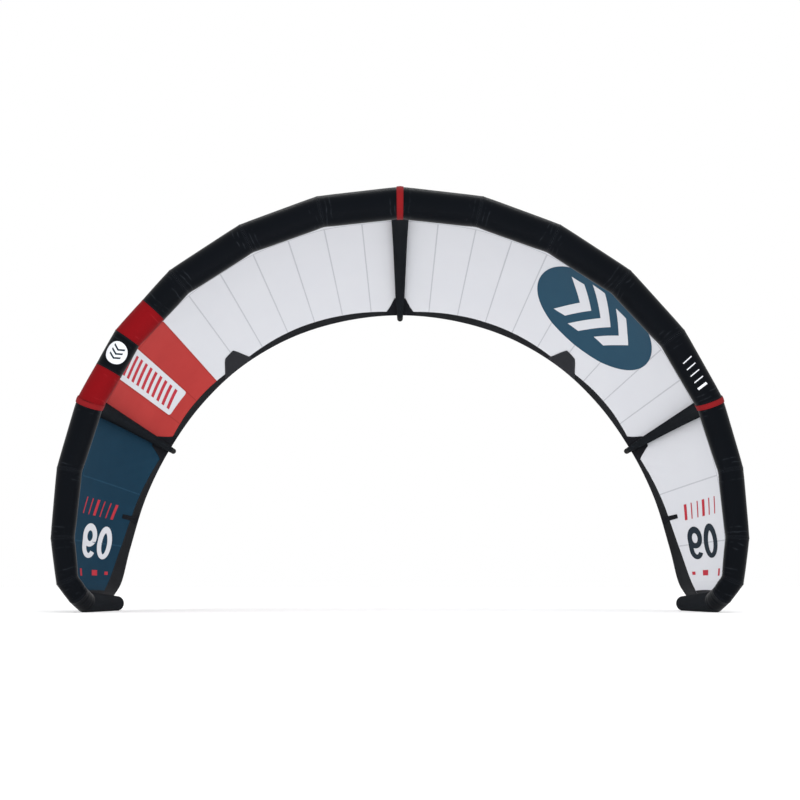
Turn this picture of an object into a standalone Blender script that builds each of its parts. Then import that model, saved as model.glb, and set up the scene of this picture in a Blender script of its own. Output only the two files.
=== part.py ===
"""Inflatable kitesurfing kite, 9 square metres, standing as an arch on its two wingtips.

Frame: metres, +Z up, +X along the span, leading edge towards -Y, trailing edge towards +Y.
The origin is at the centre of the bounding box on the floor.

The kite is laid out in polar stations about a level line through the middle of the arch.
Every chord points at one far point on that line, so the canopy is part of a shallow cone.
A span position s runs from 0 at the centre to 9 where the leading edge turns into the wingtip
tube and 10 at that tube's end. The left half uses negative s.
"""
import math
from collections import namedtuple

import bmesh
import bpy
from mathutils import Matrix, Vector

# ---------------------------------------------------------------- driving dimensions
AXIS_HEIGHT = 0.150          # height of the arch's middle line above the floor
APEX_DISTANCE = 12.0         # how far behind the leading edge the chord lines meet
SHEET = 0.003                # thickness of canopy and trailing edge cloth
PATCH = 0.0015               # thickness of the sewn reinforcement patches
GAP = 0.0003                 # clearance between neighbouring pieces
SEAT_GAP = 0.0005            # clearance of the canopy's front edge over the faceted tube
TIP_SEAT_GAP = 0.0030        # the same where the seat turns round the tube towards the wingtip
PATCH_GAP = 0.0006           # clearance of a patch under the faceted canopy
BAND_GAP = 0.0006            # clearance between the canopy and its trailing edge band
TUBE_SIDES = 24              # facets round the leading edge
STRUT_SIDES = 16             # facets round a strut

Station = namedtuple("Station", "angle_deg radius_m sweep_m tube_m chord_m crown")
# angle from straight up, radius of the tube's centre line, sweep towards the rear, tube radius,
# chord from tube centre to trailing edge, height of the canopy's crown over its chord
STATIONS = (
    Station(0.0, 2.166, 0.000, 0.0920, 1.744, 0.130),
    Station(12.15, 2.162, 0.000, 0.0905, 1.737, 0.130),
    Station(24.15, 2.143, -0.002, 0.0880, 1.688, 0.130),
    Station(36.35, 2.114, -0.006, 0.0850, 1.636, 0.128),
    Station(48.15, 2.063, -0.012, 0.0806, 1.557, 0.126),
    Station(59.85, 2.004, -0.020, 0.0764, 1.449, 0.124),
    Station(71.00, 1.939, -0.030, 0.0702, 1.282, 0.122),
    Station(82.15, 1.873, -0.040, 0.0654, 1.077, 0.118),
    Station(89.20, 1.821, -0.045, 0.0610, 0.852, 0.110),
)

TipPoint = namedtuple("TipPoint", "s x_m y_m z_m tube_m")
# the elbow at the bottom of the leading edge and the two ends of the level wingtip tube
TIP_POINTS = (
    TipPoint(8.6, 1.766, -0.022, 0.096, 0.0590),
    TipPoint(9.0, 1.742, 0.060, 0.0560, 0.0580),
    TipPoint(10.0, 1.670, 0.600, 0.0406, 0.0420),
)

# canopy seat round the tube, from the outer side (0) towards the back (90), by station
SEAT_DEG = (15, 15, 15, 15, 15, 15, 15, 15, 30, 90)
SEAT_AFT_S = 9.95            # where the canopy's lower corner lands on the wingtip tube

# heights and places of the canopy section's two inner control points, as parts of the chord
CROWN_AT = 0.27
TAIL_AT = 0.68
TAIL_HEIGHT = 0.07
CROWN_STRAIGHT = 0.4         # how much the crown keeps to straight runs between stations

CENTRE_STRUT = 0             # stations of the struts, patches and battens
SIDE_STRUT = 5
PATCH_STATION = 3
BATTEN_STATION = 6.45

Strut = namedtuple("Strut", "station front_m rear_m tail_m")
STRUTS = (
    Strut(CENTRE_STRUT, 0.047, 0.033, 0.021),
    Strut(-SIDE_STRUT, 0.044, 0.030, 0.020),
    Strut(SIDE_STRUT, 0.044, 0.030, 0.020),
)
STRUT_CLEAR = 0.0035              # strut top below the canopy, clear of the patch between
STRUT_KNEE = 0.86                 # where the strut starts to taper to its tail
STRUT_END = 0.975                 # where the fabric strut stops and its bumper starts
STRUT_STOPS = (0.0, 0.06, 0.14, 0.24, 0.35, 0.47, 0.59, 0.71, STRUT_KNEE, 0.92, STRUT_END)
MOUTH_REACH = 0.35                # half length of the guide that shapes a strut's mouth
BUMPER_LENGTH = 0.050
RING_WIDTH = 0.038
RING_THICK = 0.003
RING_START_DEG = 0.0              # ring ends just in front of the canopy's seat
RING_FACETS = 19                  # and behind, just under the strut's top

# rows of facets from the tube to the band, across the band, and columns between two stations
CANOPY_ROWS = (0.0, 0.05, 0.13, 0.22, 0.32, 0.43, 0.55, 0.67, 0.79, 0.90, 1.0)
BAND_ROWS = (0.0, 0.5, 1.0)
COLUMNS_A_STATION = 4
HAIR = 1e-6                       # least span position, whose sign says which half it is on
TIP_COLUMN = 8.875                # one more column where the canopy turns onto the wingtip

# trailing edge band: straight on its canopy side between these span positions
BAND_FIXINGS = (0.0, 3.0, 5.0, BATTEN_STATION, 9.0)
BAND_BOWS = (0.044, 0.040, 0.014, 0.034)     # extra width half way between two fixings
BAND_WIDTH = 0.036

Cloth = namedtuple("Cloth", "colour roughness")
CLOTHS = {
    "black_sailcloth": Cloth((0.007, 0.009, 0.012), 0.62),
    "red_sailcloth": Cloth((0.40, 0.012, 0.018), 0.60),
    "white_ripstop": Cloth((0.78, 0.80, 0.83), 0.55),
    "red_ripstop": Cloth((0.48, 0.045, 0.04), 0.55),
    "blue_ripstop": Cloth((0.012, 0.045, 0.085), 0.55),
    "black_band": Cloth((0.012, 0.014, 0.017), 0.65),
    "bumper_rubber": Cloth((0.010, 0.010, 0.011), 0.80),
}


# ---------------------------------------------------------------- leading edge tube
def polar(angle_deg, radius, depth):
    """Point at an angle from straight up about the arch's middle line."""
    turn = math.radians(angle_deg)
    return Vector((radius * math.sin(turn), depth, AXIS_HEIGHT + radius * math.cos(turn)))


def tube_path():
    """Span positions, centres and radii of the right half's tube, centre to wingtip end."""
    path = [(float(i), polar(row.angle_deg, row.radius_m, row.sweep_m), row.tube_m)
            for i, row in enumerate(STATIONS)]
    path += [(row.s, Vector((row.x_m, row.y_m, row.z_m)), row.tube_m) for row in TIP_POINTS]
    return path


def tube_frames(path):
    """Outward and backward unit vectors and the mitre normal at each point of the path."""
    heads = [(path[i + 1][1] - path[i][1]).normalized() for i in range(len(path) - 1)]
    mirrored = Vector((heads[0].x, -heads[0].y, -heads[0].z))
    back = Vector((0, 1, 0))
    back = (back - heads[0] * back.dot(heads[0])).normalized()
    out = heads[0].cross(back).normalized()
    frames = []
    for i in range(len(path)):
        before = heads[i - 1] if i else mirrored
        after = heads[i] if i < len(heads) else heads[-1]
        mitre = (before + after).normalized()
        if i and i < len(heads):
            out = out - 2.0 * mitre * out.dot(mitre)
            back = back - 2.0 * mitre * back.dot(mitre)
        frames.append((out.copy(), back.copy(), after.copy(), mitre))
    return frames


PATH = tube_path()
FRAMES = tube_frames(PATH)
DOME_TURNS_DEG = (0, 20, 40, 58, 74)   # rings of a tube's rounded end
DOME_DEPTH = 0.75                      # depth of the rounded end, as part of its radius
DOME_DROOP = 0.45
FLOOR_SNAP = 0.0012          # lowest facets of the wingtip tubes are made level within this


def mitre_point(index, phi_deg, proud):
    """Point of the tube's surface, phi round from the outer side, in the joint's plane."""
    centre, radius = PATH[index][1], PATH[index][2]
    out, back, head, mitre = FRAMES[index]
    phi = math.radians(phi_deg)
    offset = (out * math.cos(phi) + back * math.sin(phi)) * (radius + proud)
    offset -= head * (offset.dot(mitre) / head.dot(mitre))
    return centre + offset


def bracket(s):
    """The two path points round a span position and the fraction between them."""
    for i in range(len(PATH) - 1):
        low, high = PATH[i][0], PATH[i + 1][0]
        if s <= high or i == len(PATH) - 2:
            return i, (s - low) / (high - low)
    return 0, 0.0


def tube_point(s, phi_deg, proud=0.0):
    """Point on the tube's surface, or proud of it, at span position s of either half."""
    index, part = bracket(abs(s))
    point = mitre_point(index, phi_deg, proud).lerp(mitre_point(index + 1, phi_deg, proud), part)
    return mirrored_if(point, s < 0)


def mirrored_if(point, flip):
    """The point, or its mirror image in the kite's middle plane."""
    return Vector((-point.x, point.y, point.z)) if flip else point.copy()


def half_gap(start, end):
    """Half a clearance, as a change of span position on the stretch from start to end."""
    low, high = sorted((abs(start), abs(end)))
    index, _ = bracket((low + high) / 2.0)
    length = (PATH[index + 1][1] - PATH[index][1]).length
    return 0.5 * GAP * (PATH[index + 1][0] - PATH[index][0]) / length


def stations_between(start, end):
    """Path positions strictly between two span positions of one half, from the middle out."""
    sign = -1.0 if min(start, end) < 0 else 1.0
    low, high = sorted((abs(start), abs(end)))
    inside = [p[0] for p in PATH if low + 0.01 < p[0] < high - 0.01]
    return [sign * s for s in inside]


# ---------------------------------------------------------------- canopy surface
def catmull_rom(a, b, c, d, t):
    """Smooth curve from b to c with neighbours a and d."""
    return 0.5 * (2.0 * b + (c - a) * t + (2.0 * a - 5.0 * b + 4.0 * c - d) * t * t
                  + (3.0 * b - a - 3.0 * c + d) * t * t * t)


def seat_gap(s):
    """Clearance of the canopy's front edge over the tube."""
    turn = min(max((s - 8.0) * COLUMNS_A_STATION, 0.0), 1.0)
    return SEAT_GAP + (TIP_SEAT_GAP - SEAT_GAP) * turn


def section_controls():
    """The three control points behind the seat, for each station of the right half."""
    apex = Vector((0.0, APEX_DISTANCE, AXIS_HEIGHT))
    axis_line = Vector((0.0, 1.0, 0.0))
    rows = []
    for i, row in enumerate(STATIONS):
        centre = PATH[i][1]
        chord = (apex - centre).normalized()
        side = chord.cross(axis_line) if i else Vector((1.0, 0.0, 0.0))
        normal = side.cross(chord).normalized()
        if normal.dot(centre - Vector((0.0, centre.y, AXIS_HEIGHT))) < 0:
            normal.negate()
        rows.append((centre + chord * row.chord_m * CROWN_AT + normal * row.chord_m * row.crown,
                     centre + chord * row.chord_m * TAIL_AT + normal * row.chord_m * TAIL_HEIGHT,
                     centre + chord * row.chord_m))
    tip_front = tube_point(9.0, SEAT_DEG[9], TIP_SEAT_GAP)
    tip_back = tube_point(SEAT_AFT_S, SEAT_DEG[9], TIP_SEAT_GAP)
    rows.append((tip_front.lerp(tip_back, 1.0 / 3.0), tip_front.lerp(tip_back, 2.0 / 3.0), tip_back))
    return rows


CONTROLS = section_controls()


def control(index, which):
    """A control point at a station, mirrored past the centre and run on past the tip."""
    if index > 9:
        return 2.0 * CONTROLS[9][which] - CONTROLS[8][which]
    return mirrored_if(CONTROLS[abs(index)][which], index < 0)


def seat_angle(s):
    """Angle of the canopy's seat round the tube at a span position."""
    low = min(int(s), 8)
    return SEAT_DEG[low] + (SEAT_DEG[low + 1] - SEAT_DEG[low]) * (s - low)


def canopy_point(s, u, depth=0.0):
    """Point of the canopy's inner face: s along the span, u from tube (0) to rear edge (1)."""
    flip = s < 0
    s = abs(s)
    low = min(int(s), 8)
    t = s - low
    seat = tube_point(s, seat_angle(s), seat_gap(s))
    smooth = [catmull_rom(*(control(low + k, w) for k in (-1, 0, 1, 2)), t) for w in range(3)]
    straight = control(low, 0).lerp(control(low + 1, 0), t)
    crown = smooth[0].lerp(straight, CROWN_STRAIGHT)
    v = 1.0 - u
    point = (seat * v ** 3 + crown * (3 * v * v * u) + smooth[1] * (3 * v * u * u)
             + smooth[2] * u ** 3)
    return mirrored_if(point, flip)


def canopy_normal(s, u):
    """Outward unit normal of the canopy at a span position."""
    step = 0.004
    across = (canopy_point(min(s + step, 9.0), u) - canopy_point(max(s - step, -9.0), u))
    along = canopy_point(s, min(u + step, 1.0)) - canopy_point(s, max(u - step, 0.0))
    return across.cross(along).normalized()


def chord_at(s):
    """Chord of the canopy at a span position."""
    s = abs(s)
    low = min(int(s), 8)
    first = STATIONS[low].chord_m
    last = STATIONS[low + 1].chord_m if low < 8 else (PATH[-1][1] - PATH[-2][1]).length
    return first + (last - first) * (s - low)


def rear_length(s):
    """Length of one station of span at the rear edge."""
    low = min(int(abs(s)), 8)
    return (control(low + 1, 2) - control(low, 2)).length


def band_width(s):
    """Width of the trailing edge band: its canopy side is straight between the fixings."""
    s = abs(s)
    for low, high, bow in zip(BAND_FIXINGS, BAND_FIXINGS[1:], BAND_BOWS):
        if s <= high:
            middle = (2.0 * s - low - high) / (high - low)
            return BAND_WIDTH + bow * (1.0 - middle * middle)
    return BAND_WIDTH


def band_start(s):
    """Position along the section where the trailing edge band starts."""
    return 1.0 - band_width(s) / chord_at(s)


def facet_point(s, u):
    """Point of the faceted canopy or band, which lies a little inside the true curve."""
    left = math.floor(s * COLUMNS_A_STATION) / COLUMNS_A_STATION
    part = (s - left) * COLUMNS_A_STATION
    edge = band_start(s)
    rows, share = (CANOPY_ROWS, u / edge) if u < edge else (BAND_ROWS, (u - edge) / (1.0 - edge))
    index = max(i for i in range(len(rows) - 1) if rows[i] <= share)
    fraction = (share - rows[index]) / (rows[index + 1] - rows[index])
    ends = []
    for column in (left, left + 1.0 / COLUMNS_A_STATION):
        brink = band_start(column)
        low, high = (0.0, brink) if u < edge else (brink, 1.0)
        pair = [canopy_point(column, low + (high - low) * rows[index + k]) for k in (0, 1)]
        ends.append(pair[0].lerp(pair[1], fraction))
    return ends[0].lerp(ends[1], part)


# ---------------------------------------------------------------- mesh helpers
def cloth_material(name):
    """Principled material of one of the kite's cloths."""
    if name in bpy.data.materials:
        return bpy.data.materials[name]
    cloth = CLOTHS[name]
    material = bpy.data.materials.new(name)
    material.use_nodes = True
    shader = material.node_tree.nodes["Principled BSDF"]
    shader.inputs["Base Color"].default_value = (*cloth.colour, 1.0)
    shader.inputs["Roughness"].default_value = cloth.roughness
    shader.inputs["Metallic"].default_value = 0.0
    material.diffuse_color = (*cloth.colour, 1.0)
    return material


def finish(name, mesh_data, cloth, smooth=True):
    """Turn a bmesh into a named object with outward faces and its cloth."""
    bmesh.ops.recalc_face_normals(mesh_data, faces=mesh_data.faces)
    mesh = bpy.data.meshes.new(name)
    mesh_data.to_mesh(mesh)
    mesh_data.free()
    if smooth:
        mesh.shade_smooth()
        mesh.set_sharp_from_angle(angle=math.radians(35.0))
    mesh.materials.append(cloth_material(cloth))
    thing = bpy.data.objects.new(name, mesh)
    bpy.context.scene.collection.objects.link(thing)
    return thing


def lofted(rings):
    """Closed solid through equal rings of points, capped at both ends."""
    solid = bmesh.new()
    loops = [[solid.verts.new(point) for point in ring] for ring in rings]
    count = len(loops[0])
    for first, second in zip(loops, loops[1:]):
        for k in range(count):
            solid.faces.new((first[k], first[(k + 1) % count],
                             second[(k + 1) % count], second[k]))
    solid.faces.new(loops[0])
    solid.faces.new(loops[-1])
    return solid


def walled(grid, normals, thickness):
    """Closed sheet on a grid of points, with its thickness along the grid's normals."""
    solid = bmesh.new()
    rows, columns = len(grid), len(grid[0])
    near = [[solid.verts.new(point) for point in row] for row in grid]
    far = [[solid.verts.new(grid[i][j] + normals[i][j] * thickness) for j in range(columns)]
           for i in range(rows)]
    for i in range(rows - 1):
        for j in range(columns - 1):
            solid.faces.new((near[i][j], near[i + 1][j], near[i + 1][j + 1], near[i][j + 1]))
            solid.faces.new((far[i][j], far[i][j + 1], far[i + 1][j + 1], far[i + 1][j]))
    rim = [(0, j) for j in range(columns)] + [(i, columns - 1) for i in range(1, rows)]
    rim += [(rows - 1, j) for j in reversed(range(columns - 1))]
    rim += [(i, 0) for i in reversed(range(1, rows - 1))]
    for (a, b), (c, d) in zip(rim, rim[1:] + rim[:1]):
        solid.faces.new((near[a][b], near[c][d], far[c][d], far[a][b]))
    return solid


def on_floor(point):
    """The point, levelled onto the floor where a wingtip tube rests."""
    return Vector((point.x, point.y, 0.0)) if point.z < FLOOR_SNAP else point


PLACES = {0: "centre", -SIDE_STRUT: "left", SIDE_STRUT: "right"}


def side_name(s):
    """Which half of the kite a span position is on."""
    return "left" if s < 0 else "right"


# ---------------------------------------------------------------- pieces of the leading edge
def tube_ring(s, proud=0.0):
    """Points round the tube at a span position."""
    phis = [360.0 * k / TUBE_SIDES for k in range(TUBE_SIDES)]
    return [on_floor(tube_point(s, phi, proud)) for phi in phis]


def tube_piece(name, start, end, cloth):
    """One sewn length of the leading edge, between two span positions of one half."""
    step = math.copysign(half_gap(start, end), end - start)
    positions = [start + step] + stations_between(start, end) + [end - step]
    return finish(name, lofted([tube_ring(s) for s in positions]), cloth)


def leading_edge():
    """The black tube with the left half's two red lengths."""
    right = [float(i) for i in range(10)]
    left = sorted(right + [3.5, 4.5])
    for sign, stops in ((1.0, right), (-1.0, left)):
        for number, (start, end) in enumerate(zip(stops, stops[1:]), start=1):
            red = sign < 0 and (start, end) in ((3.5, 4.0), (4.5, 5.0))
            name = f"leading_edge_{side_name(sign)}_{number:02d}"
            cloth = "red_sailcloth" if red else "black_sailcloth"
            tube_piece(name, sign * max(start, HAIR), sign * end, cloth)


def wingtip_tube(sign):
    """The level tube along the wingtip, with its rounded end."""
    length = (PATH[-1][1] - PATH[-2][1]).length
    reach = DOME_DEPTH * PATH[-1][2] / length
    rings = [tube_ring(sign * (9.0 + half_gap(9.0, 10.0))), tube_ring(sign * 9.5)]
    for turn_deg in DOME_TURNS_DEG:
        turn = math.radians(turn_deg)
        shrink = math.cos(turn)
        ring = tube_ring(sign * (10.0 - reach + reach * math.sin(turn)))
        middle = sum(ring, Vector()) / len(ring)
        # the end droops towards the floor as it closes
        centre = Vector((middle.x, middle.y, middle.z * (1.0 - DOME_DROOP * (1.0 - shrink))))
        rings.append([on_floor(centre + (point - middle) * shrink) for point in ring])
    finish(f"wingtip_tube_{side_name(sign)}", lofted(rings), "black_sailcloth")


def ring_band(station):
    """Flat band sewn round the leading edge where a strut meets it, open at the canopy seat."""
    phis = [RING_START_DEG - 360.0 * k / TUBE_SIDES for k in range(RING_FACETS + 1)]
    index = int(abs(station))
    length = (PATH[index + 1][1] - PATH[index][1]).length
    reach = 0.5 * RING_WIDTH / length
    sections = []
    for s in (station - reach, station, station + reach):
        outer = [tube_point(s, phi, RING_THICK) for phi in phis]
        inner = [tube_point(s, phi, GAP) for phi in phis]
        sections.append(outer + inner[::-1])
    finish(f"ring_band_{PLACES[station]}", lofted(sections), "red_sailcloth")


# ---------------------------------------------------------------- canopy and its trim
def columns_between(start, end, inset):
    """Span positions of a sheet's columns, a clearance inside both its edges."""
    sign = -1.0 if min(start, end) < 0 else 1.0
    low, high = sorted((abs(start), abs(end)))
    grid = [k / COLUMNS_A_STATION for k in range(9 * COLUMNS_A_STATION + 1)]
    grid += [TIP_POINTS[0].s, TIP_COLUMN]
    inside = sorted(s for s in grid if low + 0.02 < s < high - 0.02)
    return [sign * s for s in [low + inset] + inside + [high - inset]]


def canopy_panel(name, start, end, cloth):
    """One cloth panel of the canopy, from the tube to the trailing edge band."""
    columns = columns_between(start, end, half_gap(start, end))
    grid, normals = [], []
    for row in CANOPY_ROWS:
        line, outward = [], []
        for s in columns:
            u = row * (band_start(s) - 0.5 * BAND_GAP / chord_at(s))
            line.append(canopy_point(s, u))
            outward.append(canopy_normal(s, u))
        grid.append(line)
        normals.append(outward)
    finish(name, walled(grid, normals, SHEET), cloth)


def canopy():
    """White panels, with the left half's red and blue ones towards its tip."""
    right = (0, 1, 2, 3, 4, 5, 6, 7, 9)
    left = (0, 1, 2, 3, 3.5, 5, 6, 7, 9)
    for sign, stops in ((1.0, right), (-1.0, left)):
        for number, (start, end) in enumerate(zip(stops, stops[1:]), start=1):
            cloth = "white_ripstop"
            if sign < 0 and start >= 3.5:
                cloth = "red_ripstop" if start < 5 else "blue_ripstop"
            name = f"canopy_{side_name(sign)}_{number:02d}"
            canopy_panel(name, sign * max(start, HAIR), sign * end, cloth)


def trailing_edge_band(name, start, end):
    """Folded band along the rear edge, butted to the canopy panels."""
    columns = columns_between(start, end, half_gap(start, end))
    grid, normals = [], []
    for row in BAND_ROWS:
        line, outward = [], []
        for s in columns:
            first = band_start(s) + 0.5 * BAND_GAP / chord_at(s)
            u = first + (1.0 - first) * row
            line.append(canopy_point(s, u))
            outward.append(canopy_normal(s, u))
        grid.append(line)
        normals.append(outward)
    finish(name, walled(grid, normals, SHEET), "black_band")


Outline = namedtuple("Outline", "behind half_width")
PATCH_COLUMNS = (-1.0, -0.5, 0.0, 0.5, 1.0)
EDGE_SETBACK = 0.004         # a patch stops this far in front of the rear edge


def patch(name, station, length, outline):
    """Reinforcement sewn under the canopy; outline rows go from its front to the rear edge."""
    span = rear_length(station)
    tail = 1.0 - EDGE_SETBACK / chord_at(station)
    grid, normals = [], []
    for row in outline:
        u = tail - (1.0 - row.behind) * length / chord_at(station)
        line, outward = [], []
        for across in PATCH_COLUMNS:
            s = station + across * row.half_width / span
            normal = canopy_normal(s, u)
            line.append(facet_point(s, u) - normal * PATCH_GAP)
            outward.append(-normal)
        grid.append(line)
        normals.append(outward)
    finish(name, walled(grid, normals, PATCH), "black_band")


STRUT_PATCH = (Outline(0.0, 0.034), Outline(0.08, 0.040), Outline(0.45, 0.062),
               Outline(0.80, 0.092), Outline(0.93, 0.104), Outline(1.0, 0.100))
EDGE_PATCH = (Outline(0.0, 0.030), Outline(0.10, 0.038), Outline(0.50, 0.060),
              Outline(0.85, 0.088), Outline(0.95, 0.094), Outline(1.0, 0.088))
BATTEN_PATCH = (Outline(0.0, 0.009), Outline(0.10, 0.011), Outline(0.62, 0.012),
                Outline(0.80, 0.022), Outline(1.0, 0.050))


# ---------------------------------------------------------------- struts
def strut_radius(strut, u):
    """Radius of an inflated strut along its length."""
    if u < STRUT_KNEE:
        return strut.front_m + (strut.rear_m - strut.front_m) * u / STRUT_KNEE
    part = (u - STRUT_KNEE) / (1.0 - STRUT_KNEE)
    return strut.rear_m + (strut.tail_m - strut.rear_m) * min(part, 1.0)


def strut_frame(strut, u):
    """Centre, axis, upward and sideways directions of a strut at u; past 1 it runs straight."""
    s = float(strut.station) or HAIR
    inside = min(u, 1.0)
    step = 0.01
    normal = canopy_normal(s, inside)
    axis = (canopy_point(s, min(inside + step, 1.0))
            - canopy_point(s, max(inside - step, 0.0))).normalized()
    normal = (normal - axis * normal.dot(axis)).normalized()
    centre = canopy_point(s, inside) - normal * (strut_radius(strut, inside) + STRUT_CLEAR)
    centre += axis * (u - inside) * chord_at(s)
    return centre, axis, normal, axis.cross(normal)


def strut_ring(strut, u, shrink=1.0):
    """Points round a strut."""
    centre, _, up, side = strut_frame(strut, u)
    radius = strut_radius(strut, min(u, 1.0)) * shrink
    turns = [2.0 * math.pi * k / STRUT_SIDES for k in range(STRUT_SIDES)]
    return [centre + (up * math.cos(a) + side * math.sin(a)) * radius for a in turns]


def strut_mouth_cutter(name, station):
    """Guide of the tube with its ring, which the strut's front end is fitted round."""
    positions = (station - MOUTH_REACH, station, station + MOUTH_REACH)
    rings = [tube_ring(s, RING_THICK + GAP) for s in positions]
    guide = finish(name, lofted(rings), "black_sailcloth")
    guide.hide_render = True
    guide.display_type = "WIRE"
    return guide


def inflated_strut(strut):
    """A tapered strut under the canopy and the bumper on its tail."""
    where = PLACES[strut.station]
    rings = [strut_ring(strut, u) for u in STRUT_STOPS]
    body = finish(f"strut_{where}", lofted(rings), "black_sailcloth")
    guide = strut_mouth_cutter(f"guide_mouth_{where}", float(strut.station))
    cut = body.modifiers.new("mouth", "BOOLEAN")
    cut.operation = "DIFFERENCE"
    cut.solver = "EXACT"
    cut.object = guide

    chord = STATIONS[abs(strut.station)].chord_m
    start = STRUT_END + GAP / chord
    straight = BUMPER_LENGTH / chord
    dome = strut.tail_m / chord
    rings = [strut_ring(strut, start), strut_ring(strut, start + 0.5 * straight)]
    for turn_deg in DOME_TURNS_DEG:
        turn = math.radians(turn_deg)
        rings.append(strut_ring(strut, start + straight + dome * math.sin(turn), math.cos(turn)))
    finish(f"strut_bumper_{where}", lofted(rings), "bumper_rubber")


# ---------------------------------------------------------------- assembly
def clear_scene():
    """Remove what a new file starts with."""
    for thing in list(bpy.data.objects):
        bpy.data.objects.remove(thing, do_unlink=True)


def centre_on_origin():
    """Slide every piece along Y so that the origin is at the middle of the whole depth."""
    pieces = [thing for thing in bpy.data.objects if not thing.hide_render]
    depths = [vertex.co.y for thing in pieces for vertex in thing.data.vertices
              if not thing.modifiers]
    slide = Matrix.Translation((0.0, -0.5 * (min(depths) + max(depths)), 0.0))
    for thing in bpy.data.objects:
        thing.data.transform(slide)


def main():
    """Build the kite."""
    clear_scene()
    leading_edge()
    for sign in (-1.0, 1.0):
        wingtip_tube(sign)
    for strut in STRUTS:
        ring_band(float(strut.station))
        inflated_strut(strut)
    canopy()
    for sign in (-1.0, 1.0):
        side = side_name(sign)
        trailing_edge_band(f"trailing_edge_{side}_inner", sign * HAIR, sign * SIDE_STRUT)
        trailing_edge_band(f"trailing_edge_{side}_outer", sign * SIDE_STRUT, sign * 9.0)
        patch(f"strut_patch_{side}", sign * SIDE_STRUT, 0.20, STRUT_PATCH)
        patch(f"edge_patch_{side}", sign * PATCH_STATION, 0.21, EDGE_PATCH)
        patch(f"batten_patch_{side}", sign * BATTEN_STATION, 0.155, BATTEN_PATCH)
    patch("strut_patch_centre", float(CENTRE_STRUT), 0.20, STRUT_PATCH)
    centre_on_origin()


main()
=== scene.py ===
"""Looks of an inflatable kitesurfing kite of 9 square metres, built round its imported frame.

Frame: metres, +Z up, +X along the span, leading edge towards -Y, trailing edge towards +Y.
A span position s runs from 0 at the centre to 9 where the leading edge turns into the wingtip
tube and 10 at that tube's end; the left half has negative s. A chord position u runs from 0 at
the leading edge to 1 at the trailing edge.
"""

import logging
import math
from bisect import bisect_left
from dataclasses import dataclass, replace
from enum import Enum
from functools import cached_property, lru_cache
from typing import Callable, Optional, Sequence

import bmesh
import bpy
from mathutils import Matrix, Vector, noise


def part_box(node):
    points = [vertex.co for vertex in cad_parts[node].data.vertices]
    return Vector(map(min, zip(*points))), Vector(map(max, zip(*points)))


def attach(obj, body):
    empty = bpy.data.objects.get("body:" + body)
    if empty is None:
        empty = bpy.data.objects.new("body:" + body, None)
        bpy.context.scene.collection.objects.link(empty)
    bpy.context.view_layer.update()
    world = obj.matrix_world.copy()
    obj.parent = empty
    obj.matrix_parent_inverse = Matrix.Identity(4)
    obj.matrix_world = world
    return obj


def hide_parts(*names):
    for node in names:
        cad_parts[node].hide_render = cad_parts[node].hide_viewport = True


Form = bmesh.types.BMesh
Tree, Node, Socket = bpy.types.NodeTree, bpy.types.Node, bpy.types.NodeSocket

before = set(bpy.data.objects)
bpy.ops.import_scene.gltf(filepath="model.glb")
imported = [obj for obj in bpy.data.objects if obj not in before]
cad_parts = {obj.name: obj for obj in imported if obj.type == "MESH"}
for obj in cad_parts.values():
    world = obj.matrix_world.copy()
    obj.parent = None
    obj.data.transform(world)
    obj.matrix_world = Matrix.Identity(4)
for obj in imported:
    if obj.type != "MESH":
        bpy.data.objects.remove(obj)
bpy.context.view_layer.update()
log = logging.getLogger("kite")

MM = 0.001
CLOTH = 1.2 * MM                # the canopy's cloth, drawn thicker than its 0.1 mm
# Span positions of the tube's elbow, and of the start and end of the level wingtip tube.
ELBOW, TIP, TIP_END = 8.6, 9.0, 10.0


# ---- named options
class Side(Enum):
    """The two halves of the kite, as the sign of their span positions."""

    LEFT = -1
    RIGHT = 1

    @property
    def label(self) -> str:
        """Word for this half in the names of its pieces."""
        return self.name.lower()


class Face(Enum):
    """The two faces of the canopy cloth."""

    UNDER = -1
    OVER = 1


# Span positions, without sign, of the seams between the tube's lengths and the panels.
TUBE_STOPS: dict[Side, tuple[float, ...]] = {
    Side.RIGHT: (0, 1, 2, 3, 4, 5, 6, 7, 8, 9),
    Side.LEFT: (0, 1, 2, 3, 3.5, 4, 4.5, 5, 6, 7, 8, 9),
}
PANEL_STOPS: dict[Side, tuple[float, ...]] = {
    Side.RIGHT: (0, 1, 2, 3, 4, 5, 6, 7, 9),
    Side.LEFT: (0, 1, 2, 3, 3.5, 5, 6, 7, 9),
}


def numbered(stops: Sequence[float]) -> list[tuple[int, float, float]]:
    """Number, start and end of each length between two seams, from the centre."""
    return [(k + 1, stops[k], stops[k + 1]) for k in range(len(stops) - 1)]


def panels_between(side: Side, start: float, end: float) -> list[str]:
    """CAD panels of one half that reach between two span positions without sign."""
    return [f"canopy_{side.label}_{number:02d}"
            for number, low, high in numbered(PANEL_STOPS[side]) if low < end and start < high]


# ---- drawn shape of the kite
@dataclass(frozen=True)
class Station:
    """One polar station of the arch."""

    angle_deg: float
    radius: float
    sweep: float
    tube: float
    chord: float
    crown: float


@dataclass(frozen=True)
class PathPoint:
    """One corner of the inflated tube's centre line."""

    s: float
    centre: Vector
    radius: float


@dataclass(frozen=True)
class TubeFrame:
    """Directions at a corner of the tube: outward, backward, onward, and the mitre's normal."""

    out: Vector
    back: Vector
    head: Vector
    mitre: Vector


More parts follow.
